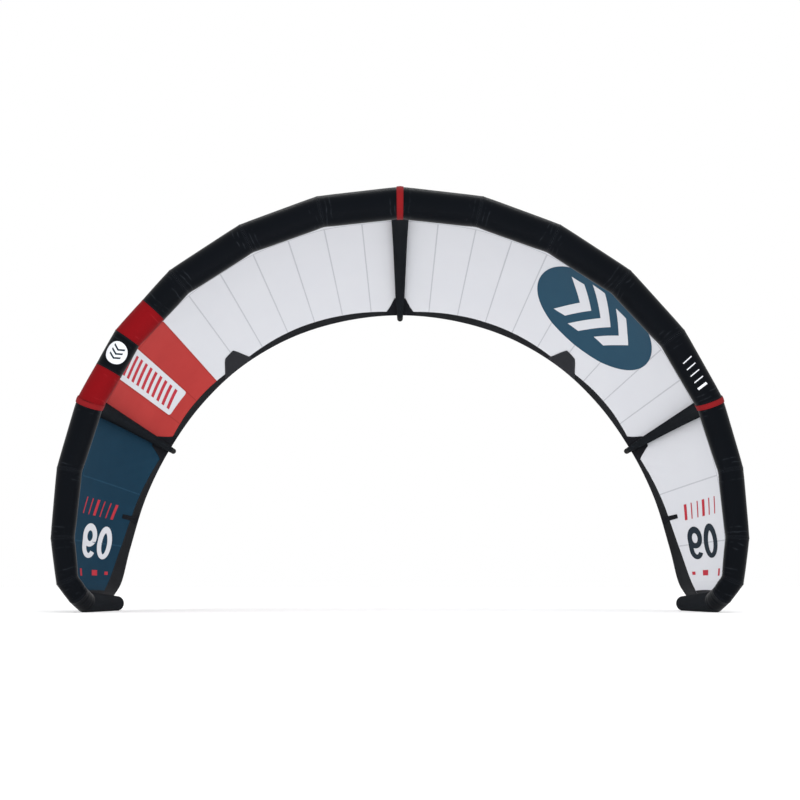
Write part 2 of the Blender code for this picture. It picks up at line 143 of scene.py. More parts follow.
@dataclass(frozen=True, eq=False)
class Arch:
    """The kite's drawn shape, from the same driving dimensions as its solids.

    slide is the frame's shift along Y, which puts the middle of the depth on the origin.
    """

    slide: float
    axis_height: float = 0.150
    apex_distance: float = 12.0
    stations: tuple[Station, ...] = (
        Station(0.0, 2.166, 0.000, 0.0920, 1.744, 0.130),
        Station(12.15, 2.162, 0.000, 0.0905, 1.737, 0.130),
        Station(24.15, 2.143, -0.002, 0.0880, 1.688, 0.130),
        Station(36.35, 2.114, -0.006, 0.0850, 1.636, 0.128),
        Station(48.15, 2.063, -0.012, 0.0806, 1.557, 0.126),
        Station(59.85, 2.004, -0.020, 0.0764, 1.449, 0.124),
        Station(71.00, 1.939, -0.030, 0.0702, 1.282, 0.122),
        Station(82.15, 1.873, -0.040, 0.0654, 1.077, 0.118),
        Station(89.20, 1.821, -0.045, 0.0610, 0.852, 0.110),
    )
    # elbow and the two ends of the level wingtip tube: s, x, y, z, tube radius
    tip_points: tuple[tuple[float, ...], ...] = (
        (ELBOW, 1.766, -0.022, 0.096, 0.0590),
        (TIP, 1.742, 0.060, 0.0560, 0.0580),
        (TIP_END, 1.670, 0.600, 0.0406, 0.0420),
    )
    seat_deg: tuple[float, ...] = (15, 15, 15, 15, 15, 15, 15, 15, 30, 90)
    seat_aft_s: float = 9.95
    seat_gap: float = 0.0005
    tip_seat_gap: float = 0.0030
    tip_seat_start: float = 8.0     # the gap widens from here, over the run below
    tip_seat_run: float = 0.25
    crown_at: float = 0.27
    tail_at: float = 0.68
    tail_height: float = 0.07
    crown_straight: float = 0.4
    floor_snap: float = 0.0012
    chord_step: float = 0.004       # steps for measuring directions and scale
    span_step: float = 0.05

    @cached_property
    def path(self) -> list[PathPoint]:
        """Corners of the right half's tube, from the centre to the wingtip's end.

        Returns:
            The corners in that order.
        """
        points = []
        for i, row in enumerate(self.stations):
            turn = math.radians(row.angle_deg)
            centre = Vector((row.radius * math.sin(turn), row.sweep + self.slide,
                             self.axis_height + row.radius * math.cos(turn)))
            points.append(PathPoint(float(i), centre, row.tube))
        for s, x, y, z, radius in self.tip_points:
            points.append(PathPoint(s, Vector((x, y + self.slide, z)), radius))
        return points

    @cached_property
    def stops(self) -> tuple[float, ...]:
        """Span positions of the corners."""
        return tuple(point.s for point in self.path)

    @cached_property
    def runs(self) -> list[float]:
        """Length in metres of each straight run between two corners."""
        return [(b.centre - a.centre).length for a, b in zip(self.path, self.path[1:])]

    @cached_property
    def frames(self) -> list[TubeFrame]:
        """Directions at each corner, carried from one to the next through the mitre planes.

        Returns:
            The directions, corner by corner.
        """
        path = self.path
        heads = [(b.centre - a.centre).normalized() for a, b in zip(path, path[1:])]
        mirrored = Vector((heads[0].x, -heads[0].y, -heads[0].z))
        back = Vector((0, 1, 0))
        back = (back - heads[0] * back.dot(heads[0])).normalized()
        out = heads[0].cross(back).normalized()
        frames = []
        for i in range(len(path)):
            before = heads[i - 1] if i else mirrored
            after = heads[i] if i < len(heads) else heads[-1]
            mitre = (before + after).normalized()
            if 0 < i < len(heads):
                out = out - 2.0 * mitre * out.dot(mitre)
                back = back - 2.0 * mitre * back.dot(mitre)
            frames.append(TubeFrame(out.copy(), back.copy(), after.copy(), mitre))
        return frames

    @lru_cache(maxsize=None)
    def spoke(self, index: int, phi_deg: float) -> Vector:
        """Offset from a corner's centre to its mitred section, for a radius of one metre."""
        around, phi = self.frames[index], math.radians(phi_deg)
        offset = around.out * math.cos(phi) + around.back * math.sin(phi)
        return offset - around.head * (offset.dot(around.mitre) / around.head.dot(around.mitre))

    def bracket(self, s: float) -> tuple[int, float]:
        """Corner before a span position and the fraction of the run past it."""
        end = min(bisect_left(self.stops, abs(s), 1), len(self.stops) - 1)
        low, high = self.stops[end - 1:end + 1]
        return end - 1, (abs(s) - low) / (high - low)

    def run_length(self, s: float) -> float:
        """Length in metres that one unit of span position has along the tube."""
        index, _ = self.bracket(s)
        return self.runs[index] / (self.stops[index + 1] - self.stops[index])

    def tube_radius(self, s: float) -> float:
        """Radius of the tube at a span position."""
        index, part = self.bracket(s)
        return self.path[index].radius * (1.0 - part) + self.path[index + 1].radius * part

    def tube_point(self, s: float, phi_deg: float, proud: float = 0.0) -> Vector:
        """Point on the tube's surface, or proud of it.

        Args:
            s: span position on either half.
            phi_deg: angle round the tube, from its outer side towards its back.
            proud: distance outside the surface, in metres.

        Returns:
            The point in the frame.
        """
        index, part = self.bracket(s)
        ends = []
        for i in (index, index + 1):
            corner = self.path[i]
            ends.append(corner.centre + self.spoke(i, phi_deg) * (corner.radius + proud))
        point = ends[0].lerp(ends[1], part)
        return mirrored_if(point, s < 0)

    def tube_middle(self, s: float) -> Vector:
        """Point of the tube's centre line at a span position."""
        index, part = self.bracket(s)
        middle = self.path[index].centre.lerp(self.path[index + 1].centre, part)
        return mirrored_if(middle, s < 0)

    def corner_distance(self, s: float) -> float:
        """Distance in metres along the tube to its nearest bend."""
        index, part = self.bracket(s)
        near = part if index == len(self.runs) - 1 else min(part, 1.0 - part)
        return near * self.runs[index]

    @cached_property
    def controls(self) -> list[tuple[Vector, Vector, Vector]]:
        """The three control points of the canopy's section behind its seat, by station.

        Returns:
            Crown, tail and end of each section.
        """
        apex = Vector((0.0, self.apex_distance + self.slide, self.axis_height))
        rows = []
        for i, row in enumerate(self.stations):
            centre = self.path[i].centre
            chord = (apex - centre).normalized()
            side = chord.cross(Vector((0.0, 1.0, 0.0))) if i else Vector((1.0, 0.0, 0.0))
            normal = side.cross(chord).normalized()
            if normal.dot(centre - Vector((0.0, centre.y, self.axis_height))) < 0:
                normal.negate()
            crown = centre + chord * row.chord * self.crown_at + normal * row.chord * row.crown
            tail = centre + chord * row.chord * self.tail_at
            tail += normal * row.chord * self.tail_height
            rows.append((crown, tail, centre + chord * row.chord))
        front = self.tube_point(TIP, self.seat_deg[-1], self.tip_seat_gap)
        rear = self.tube_point(self.seat_aft_s, self.seat_deg[-1], self.tip_seat_gap)
        rows.append((front.lerp(rear, 1.0 / 3.0), front.lerp(rear, 2.0 / 3.0), rear))
        return rows

    def control(self, index: int, which: int) -> Vector:
        """A control point, mirrored past the centre and run on past the tip."""
        if index >= len(self.controls):
            return 2.0 * self.controls[-1][which] - self.controls[-2][which]
        return mirrored_if(self.controls[abs(index)][which], index < 0)

    @lru_cache(maxsize=None)
    def section(self, s: float) -> tuple[Vector, Vector, Vector, Vector]:
        """The four Bezier points of the canopy's section at a span position of the right half.

        Args:
            s: span position.

        Returns:
            Seat, crown, tail and end.
        """
        low = min(int(s), len(self.stations) - 1)
        t = s - low
        seat_deg = self.seat_deg[low] + (self.seat_deg[low + 1] - self.seat_deg[low]) * t
        turn = min(max((s - self.tip_seat_start) / self.tip_seat_run, 0.0), 1.0)
        gap = self.seat_gap + (self.tip_seat_gap - self.seat_gap) * turn
        smooth = [catmull_rom([self.control(low + k, w) for k in (-1, 0, 1, 2)], t)
                  for w in range(3)]
        straight = self.control(low, 0).lerp(self.control(low + 1, 0), t)
        crown = smooth[0].lerp(straight, self.crown_straight)
        return self.tube_point(s, seat_deg, gap), crown, smooth[1], smooth[2]

    def canopy_point(self, s: float, u: float) -> Vector:
        """Point of the canopy's under face."""
        (seat, crown, tail, end), v = self.section(abs(s)), 1.0 - u
        point = seat * v ** 3 + crown * (3 * v * v * u) + tail * (3 * v * u * u) + end * u ** 3
        return mirrored_if(point, s < 0)

    def canopy_normal(self, s: float, u: float) -> Vector:
        """Outward unit normal of the canopy.

        Args:
            s: span position.
            u: chord position.

        Returns:
            The normal.
        """
        step, point = self.chord_step, self.canopy_point
        across = point(min(s + step, TIP), u) - point(max(s - step, -TIP), u)
        along = point(s, min(u + step, 1.0)) - point(s, max(u - step, 0.0))
        return across.cross(along).normalized()

    @cached_property
    def chords(self) -> list[float]:
        """Chord of the canopy at each station, and along the wingtip tube."""
        return [*(station.chord for station in self.stations), self.runs[-1]]

    def chord(self, s: float) -> float:
        """Chord of the canopy at a span position."""
        low = min(int(abs(s)), len(self.chords) - 2)
        first, last = self.chords[low:low + 2]
        return first + (last - first) * (abs(s) - low)

    def span_scale(self, s: float, u: float) -> float:
        """Length in metres that one unit of span position has at a point of the canopy."""
        low, high = max(s - self.span_step, -TIP), min(s + self.span_step, TIP)
        return (self.canopy_point(high, u) - self.canopy_point(low, u)).length / (high - low)

    def span_run(self, start: float, end: float, u: float) -> float:
        """Length along the canopy from one span position to another."""
        return line_length([self.canopy_point(s, u) for s in spaced(start, end, 12)])

    def section_run(self, s: float, first: float = 0.0, last: float = 1.0) -> float:
        """Length of the canopy's section between two chord positions."""
        return line_length([self.canopy_point(s, u) for u in spaced(first, last, 24)])

    def middle_line(self, point: Vector) -> Vector:
        """Nearest point of the level line through the middle of the arch."""
        return Vector((0.0, point.y, self.axis_height))


def mirrored_if(point: Vector, flip: bool) -> Vector:
    """The point, or its mirror image in the kite's middle plane."""
    return Vector((-point.x, point.y, point.z)) if flip else point.copy()


def line_length(points: Sequence[Vector]) -> float:
    """Length of a line through points."""
    return sum((b - a).length for a, b in zip(points, points[1:]))


def catmull_rom(points: Sequence[Vector], t: float) -> Vector:
    """Smooth curve between the two middle ones of four points."""
    a, b, c, d = points
    return 0.5 * (2.0 * b + (c - a) * t + (2.0 * a - 5.0 * b + 4.0 * c - d) * t * t
                  + (3.0 * b - a - 3.0 * c + d) * t * t * t)


def smoothstep(low: float, high: float, value: float) -> float:
    """Soft step from 0 at low to 1 at high."""
    t = min(max((value - low) / (high - low), 0.0), 1.0)
    return t * t * (3.0 - 2.0 * t)


# ---- how sewn cloth is uneven
@dataclass(frozen=True)
class Rumple:
    """Unevenness of the canopy cloth, as metres outside its drawn surface."""

    arch: Arch
    seams: tuple[float, ...] = (0, 0.5, 1, 1.5, 2, 2.5, 3, 3.5, 4, 4.5, 5, 6, 7, 9)
    front_seam: float = 0.347       # chord position of the seam behind the front panel
    front_seam_rise: float = 0.0125     # its growth a station, outside the position below
    front_seam_turn: float = 3.5
    fold: float = 0.9 * MM          # the cloth folds in along that seam
    fold_width: float = 0.024
    billow: float = 2.6 * MM        # each gore between two seams stands out this far
    pucker: float = 1.1 * MM        # gathers along the leading edge seam
    pucker_reach: float = 0.075
    pucker_wave: float = 0.034
    pucker_length: float = 0.16
    pucker_start: float = 0.012     # they grow over this depth behind the seam
    drift: float = 1.3 * MM         # slow unevenness of the stretched cloth
    drift_wave: float = 0.26
    calm: float = 0.10              # it fades this near to the front and rear seams
    pleat: float = 0.9 * MM         # slanting wrinkles beside a side strut
    pleat_wave: float = 0.085
    pleat_reach: float = 0.55
    pleat_span: float = 1.1         # stations that they reach outboard of the strut
    pleat_fades: tuple[float, float] = (0.15, 0.5)     # where they are full, and start to fade
    pleat_slant: tuple[float, float] = (0.9, 0.45)     # direction across them
    strut_station: float = 5.0
    seed: float = 7.3

    def front_at(self, s: float) -> float:
        """Chord position of the seam behind the front panel."""
        return self.front_seam + self.front_seam_rise * max(abs(s) - self.front_seam_turn, 0.0)

    def gore(self, s: float) -> float:
        """Place between the two nearest seams, from 0 at one to 1 at the next."""
        end = min(bisect_left(self.seams, abs(s), 1), len(self.seams) - 1)
        low, high = self.seams[end - 1:end + 1]
        return min((abs(s) - low) / (high - low), 1.0)

    def pleats(self, s: float, u: float) -> float:
        """Height from -1 to 1 of the slanting wrinkles outboard of a side strut.

        Args:
            s: span position.
            u: chord position.

        Returns:
            The height.
        """
        out = abs(s) - self.strut_station
        if not 0.0 < out < self.pleat_span:
            return 0.0
        across = out * self.arch.run_length(s)
        along = (1.0 - u) * self.arch.chord(s)
        run = self.pleat_slant[0] * across - self.pleat_slant[1] * along
        wave = math.cos(2.0 * math.pi * run / self.pleat_wave)
        full, last = self.pleat_fades
        fade = smoothstep(0.0, full, out) * (1.0 - smoothstep(last, self.pleat_span, out))
        return wave * fade * math.exp(-(along / self.pleat_reach) ** 2)

    def lift(self, s: float, u: float) -> float:
        """How far the cloth stands outside its drawn surface at a point.

        Args:
            s: span position.
            u: chord position.

        Returns:
            Metres, negative inside it.
        """
        chord = self.arch.chord(s)
        run, back = s * self.arch.run_length(s), u * chord
        part = self.gore(s)
        gore = 4.0 * part * (1.0 - part) * max(math.sin(math.pi * u), 0.0) ** 0.6
        front = math.exp(-back / self.pucker_reach) * min(back / self.pucker_start, 1.0)
        gathers = noise.noise(Vector((run / self.pucker_wave, back / self.pucker_length,
                                      self.seed)))
        slow = noise.noise(Vector((run / self.drift_wave, back / self.drift_wave,
                                   self.seed + 9.0)))
        ends = min(back / self.calm, (chord - back) / self.calm, 1.0)
        fold = math.exp(-((u - self.front_at(s)) * chord / self.fold_width) ** 2)
        return (self.billow * gore + self.pucker * gathers * front + self.drift * slow * ends
                + self.pleat * self.pleats(s, u) * ends - self.fold * fold)

    def point(self, s: float, u: float, off: float = 0.0) -> Vector:
        """Point of the uneven cloth's under face, or off it along its normal."""
        base = self.arch.canopy_point(s, u)
        return base + self.arch.canopy_normal(s, u) * (self.lift(s, u) + off)


# ---- finishes
def linear(hex_colour: str) -> tuple[float, float, float, float]:
    """Turn an sRGB hex colour to linear RGBA."""
    parts = [int(hex_colour[i:i + 2], 16) / 255.0 for i in (1, 3, 5)]
    return (*[c / 12.92 if c <= 0.04045 else ((c + 0.055) / 1.055) ** 2.4 for c in parts], 1.0)


def add_node(tree: Tree, kind: str, settings: Optional[dict] = None) -> Node:
    """Add one shader node with its settings and links.

    Args:
        tree: node tree that gets the node.
        kind: Blender's name of the node's type, without the "ShaderNode" that starts it.
        settings: values of its properties, or of its inputs by name or number. An output
            socket, or a node for its first live output, is linked to the input.

    Returns:
        The new node.
    """
    node = tree.nodes.new("ShaderNode" + kind)
    for key, value in (settings or {}).items():
        if isinstance(key, str) and hasattr(node, key):
            setattr(node, key, value)
            continue
        if isinstance(value, Node):
            value = next(socket for socket in value.outputs if socket.enabled)
        if isinstance(value, Socket):
            tree.links.new(value, node.inputs[key])
        else:
            node.inputs[key].default_value = value
    return node


@dataclass(frozen=True)
class Mark:
    """Something drawn over the cloth: its mask, how strong its colour is, and its height."""

    mask: Node
    colour: str
    share: float = 1.0
    raised: float = 0.0


@dataclass(frozen=True)
class WovenFinish:
    """Woven sailcloth: a plain weave, with or without ripstop threads, and its sewing.

    The pattern reads two UV maps in metres. "cloth" runs along both thread directions, and
    "seam" holds the run along a sewn edge and the distance from it.
    """

    name: str
    slot: Optional[str]
    colour: str
    shade: str                      # colour in the darker blotches of the cloth
    roughness: float
    specular: float
    blotch_mm: float = 322.58       # slow blotches, about a third of a metre across
    weave_mm: float = 2.5           # real threads are 0.3 mm apart, too fine to show
    ripstop_mm: float = 0.0         # real ripstop squares are 5 mm, drawn coarser to show
    sheen: float = 0.0
    bump_mm: float = 0.12
    thread: str = "#3a3d42"         # colour of the sewing thread
    stitch_rows_mm: tuple[float, ...] = ()
    stitch_mm: float = 7.0          # real stitches are 3 mm, drawn longer to show
    thread_mm: float = 1.1          # real thread is 0.4 mm thick, drawn thicker to show
    hem_mm: float = 0.0             # width of a darker edge along the sewn edge
    crease_rows_mm: tuple[float, ...] = ()   # painted highlights on broken creases beside a seam
    crease_sway_mm: float = 9.0     # how far a crease sways, and over what length
    crease_wave_mm: float = 111.11
    crease_break_mm: float = 71.43  # length over which it breaks up
    crease_mm: float = 4.5          # half width of a crease
    # colour of the painted crease highlights
    crease_colour: str = "#262a2f"

    def shader(self, tree: Tree) -> Node:
        """The cloth's nodes: slow blotches, the weave, and the marks over both.

        Args:
            tree: node tree that gets them.

        Returns:
            The shader.
        """
        cloth = self.axes(tree, "cloth")
        place = add_node(tree, "TexCoord").outputs["Object"]
        patches = add_node(tree, "TexNoise", {
            "Vector": place, "Scale": 1.0 / (self.blotch_mm * MM), "Detail": 4.0,
            "Roughness": 0.6})
        blotch = add_node(tree, "MapRange", {"Value": patches, "From Min": 0.35,
                                             "From Max": 0.7, "To Max": 0.55})
        colour = add_node(tree, "Mix", {"data_type": "RGBA", 0: blotch, 6: linear(self.colour),
                                        7: linear(self.shade)})
        height = self.weave(tree, cloth)
        for mark in self.marks(tree, cloth, place):
            part = add_node(tree, "Math", {"operation": "MULTIPLY", 0: mark.mask, 1: mark.share})
            colour = add_node(tree, "Mix", {"data_type": "RGBA", 0: part, 6: colour,
                                            7: linear(mark.colour)})
            height = add_node(tree, "Math", {"operation": "MULTIPLY_ADD", 0: mark.mask,
                                             1: mark.raised, 2: height})
        rough = add_node(tree, "MapRange", {"Value": patches, "To Min": self.roughness - 0.06,
                                            "To Max": self.roughness + 0.06})
        bump = add_node(tree, "Bump", {"Height": height, "Strength": 0.6,
                                       "Distance": self.bump_mm * MM})
        return add_node(tree, "BsdfPrincipled", {
            "Base Color": colour, "Roughness": rough, "Specular IOR Level": self.specular,
            "Sheen Weight": self.sheen, "Sheen Roughness": 0.45, "Normal": bump})

    def axes(self, tree: Tree, uv_map: str) -> Node:
        """The two directions of one of the piece's UV maps."""
        return add_node(tree, "SeparateXYZ",
                        {"Vector": add_node(tree, "UVMap", {"uv_map": uv_map})})

    def marks(self, tree: Tree, cloth: Node, place: Socket) -> list[Mark]:
        """What is drawn over the weave, from the lowest to the highest.

        Args:
            tree: node tree that gets the nodes.
            cloth: directions of the threads.
            place: position on the kite.

        Returns:
            The ripstop threads, folded edge, painted crease highlights and stitches that this
            cloth has.
        """
        marks = []
        if self.ripstop_mm:
            marks.append(Mark(self.ripstop(tree, cloth), self.shade, 0.35, 1.0))
        if self.hem_mm:
            hem = add_node(tree, "MapRange", {"Value": self.axes(tree, "seam").outputs["Y"],
                                              "From Min": 1.3 * self.hem_mm * MM,
                                              "From Max": 0.7 * self.hem_mm * MM})
            marks.append(Mark(hem, self.shade))
        # painted highlights where light catches the creases
        marks += [Mark(self.crease(tree, place, row_mm), self.crease_colour)
                  for row_mm in self.crease_rows_mm]
        return marks + [Mark(self.stitches(tree, row_mm), self.thread, raised=3.0)
                        for row_mm in self.stitch_rows_mm]

    def weave(self, tree: Tree, cloth: Node) -> Node:
        """A plain weave, from the product of its warp and weft waves.

        Args:
            tree: node tree that gets the nodes.
            cloth: directions of the threads.

        Returns:
            Its height, from 0 to 0.6.
        """
        turns = [add_node(tree, "Math", {"operation": "MULTIPLY", 0: cloth.outputs[axis],
                                         1: 2.0 * math.pi / (self.weave_mm * MM)})
                 for axis in "XY"]
        warp, weft = (add_node(tree, "Math", {"operation": "SINE", 0: turn}) for turn in turns)
        crossing = add_node(tree, "Math", {"operation": "MULTIPLY", 0: warp, 1: weft})
        return add_node(tree, "Math", {"operation": "MULTIPLY_ADD", 0: crossing, 1: 0.3, 2: 0.3})

    def dashes(self, tree: Tree, run: Socket, step_mm: float, first: float, last: float) -> Node:
        """Regular dashes along one direction.

        Args:
            tree: node tree that gets the nodes.
            run: metres along that direction.
            step_mm: spacing of the dashes.
            first: where the mask starts to rise, as part of a step from its edge.
            last: where it is full.

        Returns:
            Their mask.
        """
        steps = add_node(tree, "Math", {"operation": "DIVIDE", 0: run, 1: step_mm * MM})
        inside = add_node(tree, "Math", {"operation": "PINGPONG", 0: steps, 1: 0.5})
        return add_node(tree, "MapRange", {"Value": inside, "From Min": first, "From Max": last})

    def ripstop(self, tree: Tree, cloth: Node) -> Node:
        """The thicker threads that cross the cloth in squares, as a mask."""
        lines = [self.dashes(tree, cloth.outputs[axis], self.ripstop_mm, 0.09, 0.03)
                 for axis in "XY"]
        return add_node(tree, "Math", {"operation": "MAXIMUM", 0: lines[0], 1: lines[1]})

    def line(self, tree: Tree, seam: Node,
             middle: Node | float, edge_mm: float, full_mm: float) -> Node:
        """Line beside a sewn edge.

        Args:
            tree: node tree that gets the nodes.
            seam: run along the edge and distance from it.
            middle: distance of the line's middle from the edge.
            edge_mm: how far the line reaches on each side of it.
            full_mm: how far it is at full strength.

        Returns:
            The line's mask.
        """
        away = add_node(tree, "Math", {"operation": "SUBTRACT", 0: seam.outputs["Y"], 1: middle})
        near = add_node(tree, "Math", {"operation": "ABSOLUTE", 0: away})
        return add_node(tree, "MapRange", {"Value": near, "From Min": edge_mm * MM,
                                           "From Max": full_mm * MM})

    def crease(self, tree: Tree, place: Socket, row_mm: float) -> Node:
        """Painted highlight along one wavy, broken crease that runs beside a seam.

        Args:
            tree: node tree that gets the nodes.
            place: position on the kite.
            row_mm: the crease's mean distance from the seam.

        Returns:
            Its mask.
        """
        sway = add_node(tree, "TexNoise", {
            "Vector": place, "Scale": 1.0 / (self.crease_wave_mm * MM), "Detail": 1.0})
        middle = add_node(tree, "MapRange", {"Value": sway, "From Min": 0.3, "From Max": 0.7,
                                             "To Min": (row_mm - self.crease_sway_mm) * MM,
                                             "To Max": (row_mm + self.crease_sway_mm) * MM})
        line = self.line(tree, self.axes(tree, "seam"), middle, self.crease_mm, 0.0)
        breaks = 1.0 / (self.crease_break_mm * MM) + 0.1 * row_mm    # each row by itself
        parts = add_node(tree, "TexNoise", {"Vector": place, "Scale": breaks})
        broken = add_node(tree, "MapRange", {"Value": parts, "From Min": 0.46,
                                             "From Max": 0.66, "To Max": 0.75})
        return add_node(tree, "Math", {"operation": "MULTIPLY", 0: line, 1: broken})

    def stitches(self, tree: Tree, row_mm: float) -> Node:
        """One row of stitches at a distance from the sewn edge, as a mask.

        Args:
            tree: node tree that gets the nodes.
            row_mm: the row's distance from the edge.

        Returns:
            Its mask.
        """
        seam = self.axes(tree, "seam")
        row = self.line(tree, seam, row_mm * MM, self.thread_mm, 0.5)
        gap = self.dashes(tree, seam.outputs["X"], self.stitch_mm, 0.08, 0.16)
        return add_node(tree, "Math", {"operation": "MULTIPLY", 0: row, 1: gap})


@dataclass(frozen=True)
class PlainFinish:
    """Moulded rubber or studio paper: one colour with a fine grain."""

    name: str
    slot: Optional[str]
    colour: str
    roughness: float
    specular: float
    grain_mm: float = 1.5
    bump_mm: float = 0.05
    glow: float = 0.0               # light that a lit studio table gives by itself

    def shader(self, tree: Tree) -> Node:
        """The finish's nodes: a fine grain in its colour and its surface.

        Args:
            tree: node tree that gets them.

        Returns:
            The shader.
        """
        place = add_node(tree, "TexCoord").outputs["Object"]
        grain = add_node(tree, "TexNoise", {"Vector": place, "Detail": 3.0,
                                            "Scale": 1.0 / (self.grain_mm * MM)})
        tint = add_node(tree, "MapRange", {"Value": grain, "To Min": 0.92, "To Max": 1.06})
        colour = add_node(tree, "Mix", {"data_type": "RGBA", "blend_type": "MULTIPLY", 0: 1.0,
                                        6: linear(self.colour), 7: tint})
        bump = add_node(tree, "Bump", {"Height": grain, "Strength": 0.5,
                                       "Distance": self.bump_mm * MM})
        return add_node(tree, "BsdfPrincipled", {
            "Base Color": colour, "Roughness": self.roughness, "Normal": bump,
            "Specular IOR Level": self.specular, "Emission Color": linear("#ffffff"),
            "Emission Strength": self.glow})


@lru_cache(maxsize=None)
def material_of(finish: WovenFinish | PlainFinish) -> bpy.types.Material:
    """A finish as a material, made once.

    Args:
        finish: the finish.

    Returns:
        Its material.
    """
    material = bpy.data.materials.new(finish.name)
    material.use_nodes = True
    material.diffuse_color = linear(finish.colour)
    tree = material.node_tree
    tree.nodes.clear()
    add_node(tree, "OutputMaterial", {"Surface": finish.shader(tree)})
    return material


# Coated polyester sailcloth of the leading edge: nearly black with a blue cast, and just enough
# gloss for a grey sheen where the light grazes its top.
# Its pale broken lines beside the seams are painted highlights on creases.
BLACK_SAILCLOTH = WovenFinish(
    "black_polyester_sailcloth", "black_sailcloth", "#080b10", "#06090d", roughness=0.36,
    specular=0.045, weave_mm=3.0, bump_mm=0.16, thread="#1c1f24", stitch_rows_mm=(4.0, 9.0),
    crease_rows_mm=(32.0, 58.0))
# The struts and wingtip tubes take the same sailcloth without its gloss, painted lighter:
# the lighter colour is painted sheen that stands in for the gloss's reflection.
PAINTED_SHEEN_SAILCLOTH = replace(
    BLACK_SAILCLOTH, name="matt_black_polyester_sailcloth", colour="#191c20", shade="#14171a",
    roughness=0.7, specular=0.01, crease_rows_mm=())
# Its pale line beside the seam is a painted highlight on a crease.
RED_SAILCLOTH = replace(
    BLACK_SAILCLOTH, name="red_polyester_sailcloth", slot="red_sailcloth", colour="#780d13",
    shade="#6c0b11", roughness=0.50, specular=0.03, thread="#6d0f13", crease_rows_mm=(36.0,),
    crease_colour="#96242a")
# Ripstop polyester of the canopy: thin, smooth and faintly blue, with squares of thicker thread.
WHITE_RIPSTOP = WovenFinish(
    "white_ripstop_polyester", "white_ripstop", "#d7d9de", "#d4d6dc", roughness=0.55,
    specular=0.25, ripstop_mm=10.0, bump_mm=0.10, thread="#a9abb2")
RED_RIPSTOP = replace(
    WHITE_RIPSTOP, name="red_ripstop_polyester", slot="red_ripstop", colour="#b73a37",
    shade="#a93432", specular=0.05, thread="#8d2b29")
BLUE_RIPSTOP = replace(
    WHITE_RIPSTOP, name="blue_ripstop_polyester", slot="blue_ripstop", colour="#17384c",
    shade="#143144", specular=0.02, thread="#3a5a73")
# Seam tape is the same cloth, folded double and sewn through with two rows.
WHITE_TAPE = WovenFinish(
    "white_seam_tape", "white_ripstop", "#c6c8ce", "#bec0c7", roughness=0.6, specular=0.2,
    thread="#a2a5ac", stitch_rows_mm=(2.0, 7.0))
RED_TAPE = replace(
    WHITE_TAPE, name="red_seam_tape", slot="red_ripstop", colour="#ab3532", shade="#a0312e",
    specular=0.05, thread="#8d2a27")
BLUE_TAPE = replace(
    WHITE_TAPE, name="blue_seam_tape", slot="blue_ripstop", colour="#1b3d52", shade="#183649",
    specular=0.02, thread="#31546b")
# Load webbing sewn round the tube where the bridle loads it: coarse and slightly furry.
RED_WEBBING = WovenFinish(
    "red_polyester_webbing", "red_webbing", "#7e1a1e", "#72171a", roughness=0.7, specular=0.05,
    weave_mm=4.0, bump_mm=0.35, sheen=0.03, thread="#6d1216", stitch_rows_mm=(5.0,))
# Heavy black band and patches: stiff doubled sailcloth, a shade lighter than the tubes, with
# two rows of sewing, and on the band darker folded edges.
BLACK_BAND = WovenFinish(
    "black_doubled_sailcloth", "black_band", "#17191d", "#0b0c0e", roughness=0.6, specular=0.06,
    weave_mm=3.0, bump_mm=0.2, thread="#2b2d31", stitch_rows_mm=(5.0, 10.0), hem_mm=4.0)
CHARCOAL_PATCH = replace(
    BLACK_BAND, name="charcoal_doubled_sailcloth", colour="#2b2c30", shade="#232428",
    specular=0.04, bump_mm=0.25, thread="#3c3e42", hem_mm=0.0)
BLACK_PATCH = replace(
    CHARCOAL_PATCH, name="black_patch_sailcloth", colour="#1b1c20", shade="#15161a",
    roughness=0.65, specular=0.01, thread="#2a2c30")
# Screen printing ink keeps the weave of the ripstop under it.
WHITE_PRINT = WovenFinish(
    "white_ink_on_ripstop", "white_ripstop", "#d7d9de", "#d4d6dc", roughness=0.5, specular=0.2,
    ripstop_mm=10.0, bump_mm=0.08)
NAVY_PRINT = replace(
    WHITE_PRINT, name="navy_ink_on_ripstop", slot="blue_ripstop", colour="#284b5f",
    shade="#27465c", specular=0.03)
RED_PRINT = replace(
    WHITE_PRINT, name="red_ink_on_ripstop", slot="red_ripstop", colour="#ba2f3d",
    shade="#b02c39", specular=0.05)
DARK_PRINT = replace(
    WHITE_PRINT, name="dark_ink_on_ripstop", slot="black_band", colour="#12222e",
    shade="#101f2a", specular=0.06)
# Moulded rubber of the strut ends: dead black with a fine grain.
BUMPER_RUBBER = PlainFinish("moulded_black_rubber", "bumper_rubber", "#0d0e0f", 0.62, 0.1)


# ---- mesh helpers
GridMap = Callable[[float, float], Vector]
GridUV = Callable[[float, float], tuple[float, float]]


def spaced(start: float, end: float, count: int, gather: float = 0.0) -> list[float]:
    """Positions from start to end, closer together at both ends as gather goes from 0 to 1.

    Args:
        start: first position.
        end: last position.
        count: number of steps.
        gather: how much the ends draw the positions in.

    Returns:
        The positions.
    """
    steps = []
    for k in range(count + 1):
        t = k / count
        t -= gather * math.sin(2.0 * math.pi * t) / (2.0 * math.pi)
        steps.append(start + (end - start) * t)
    return steps


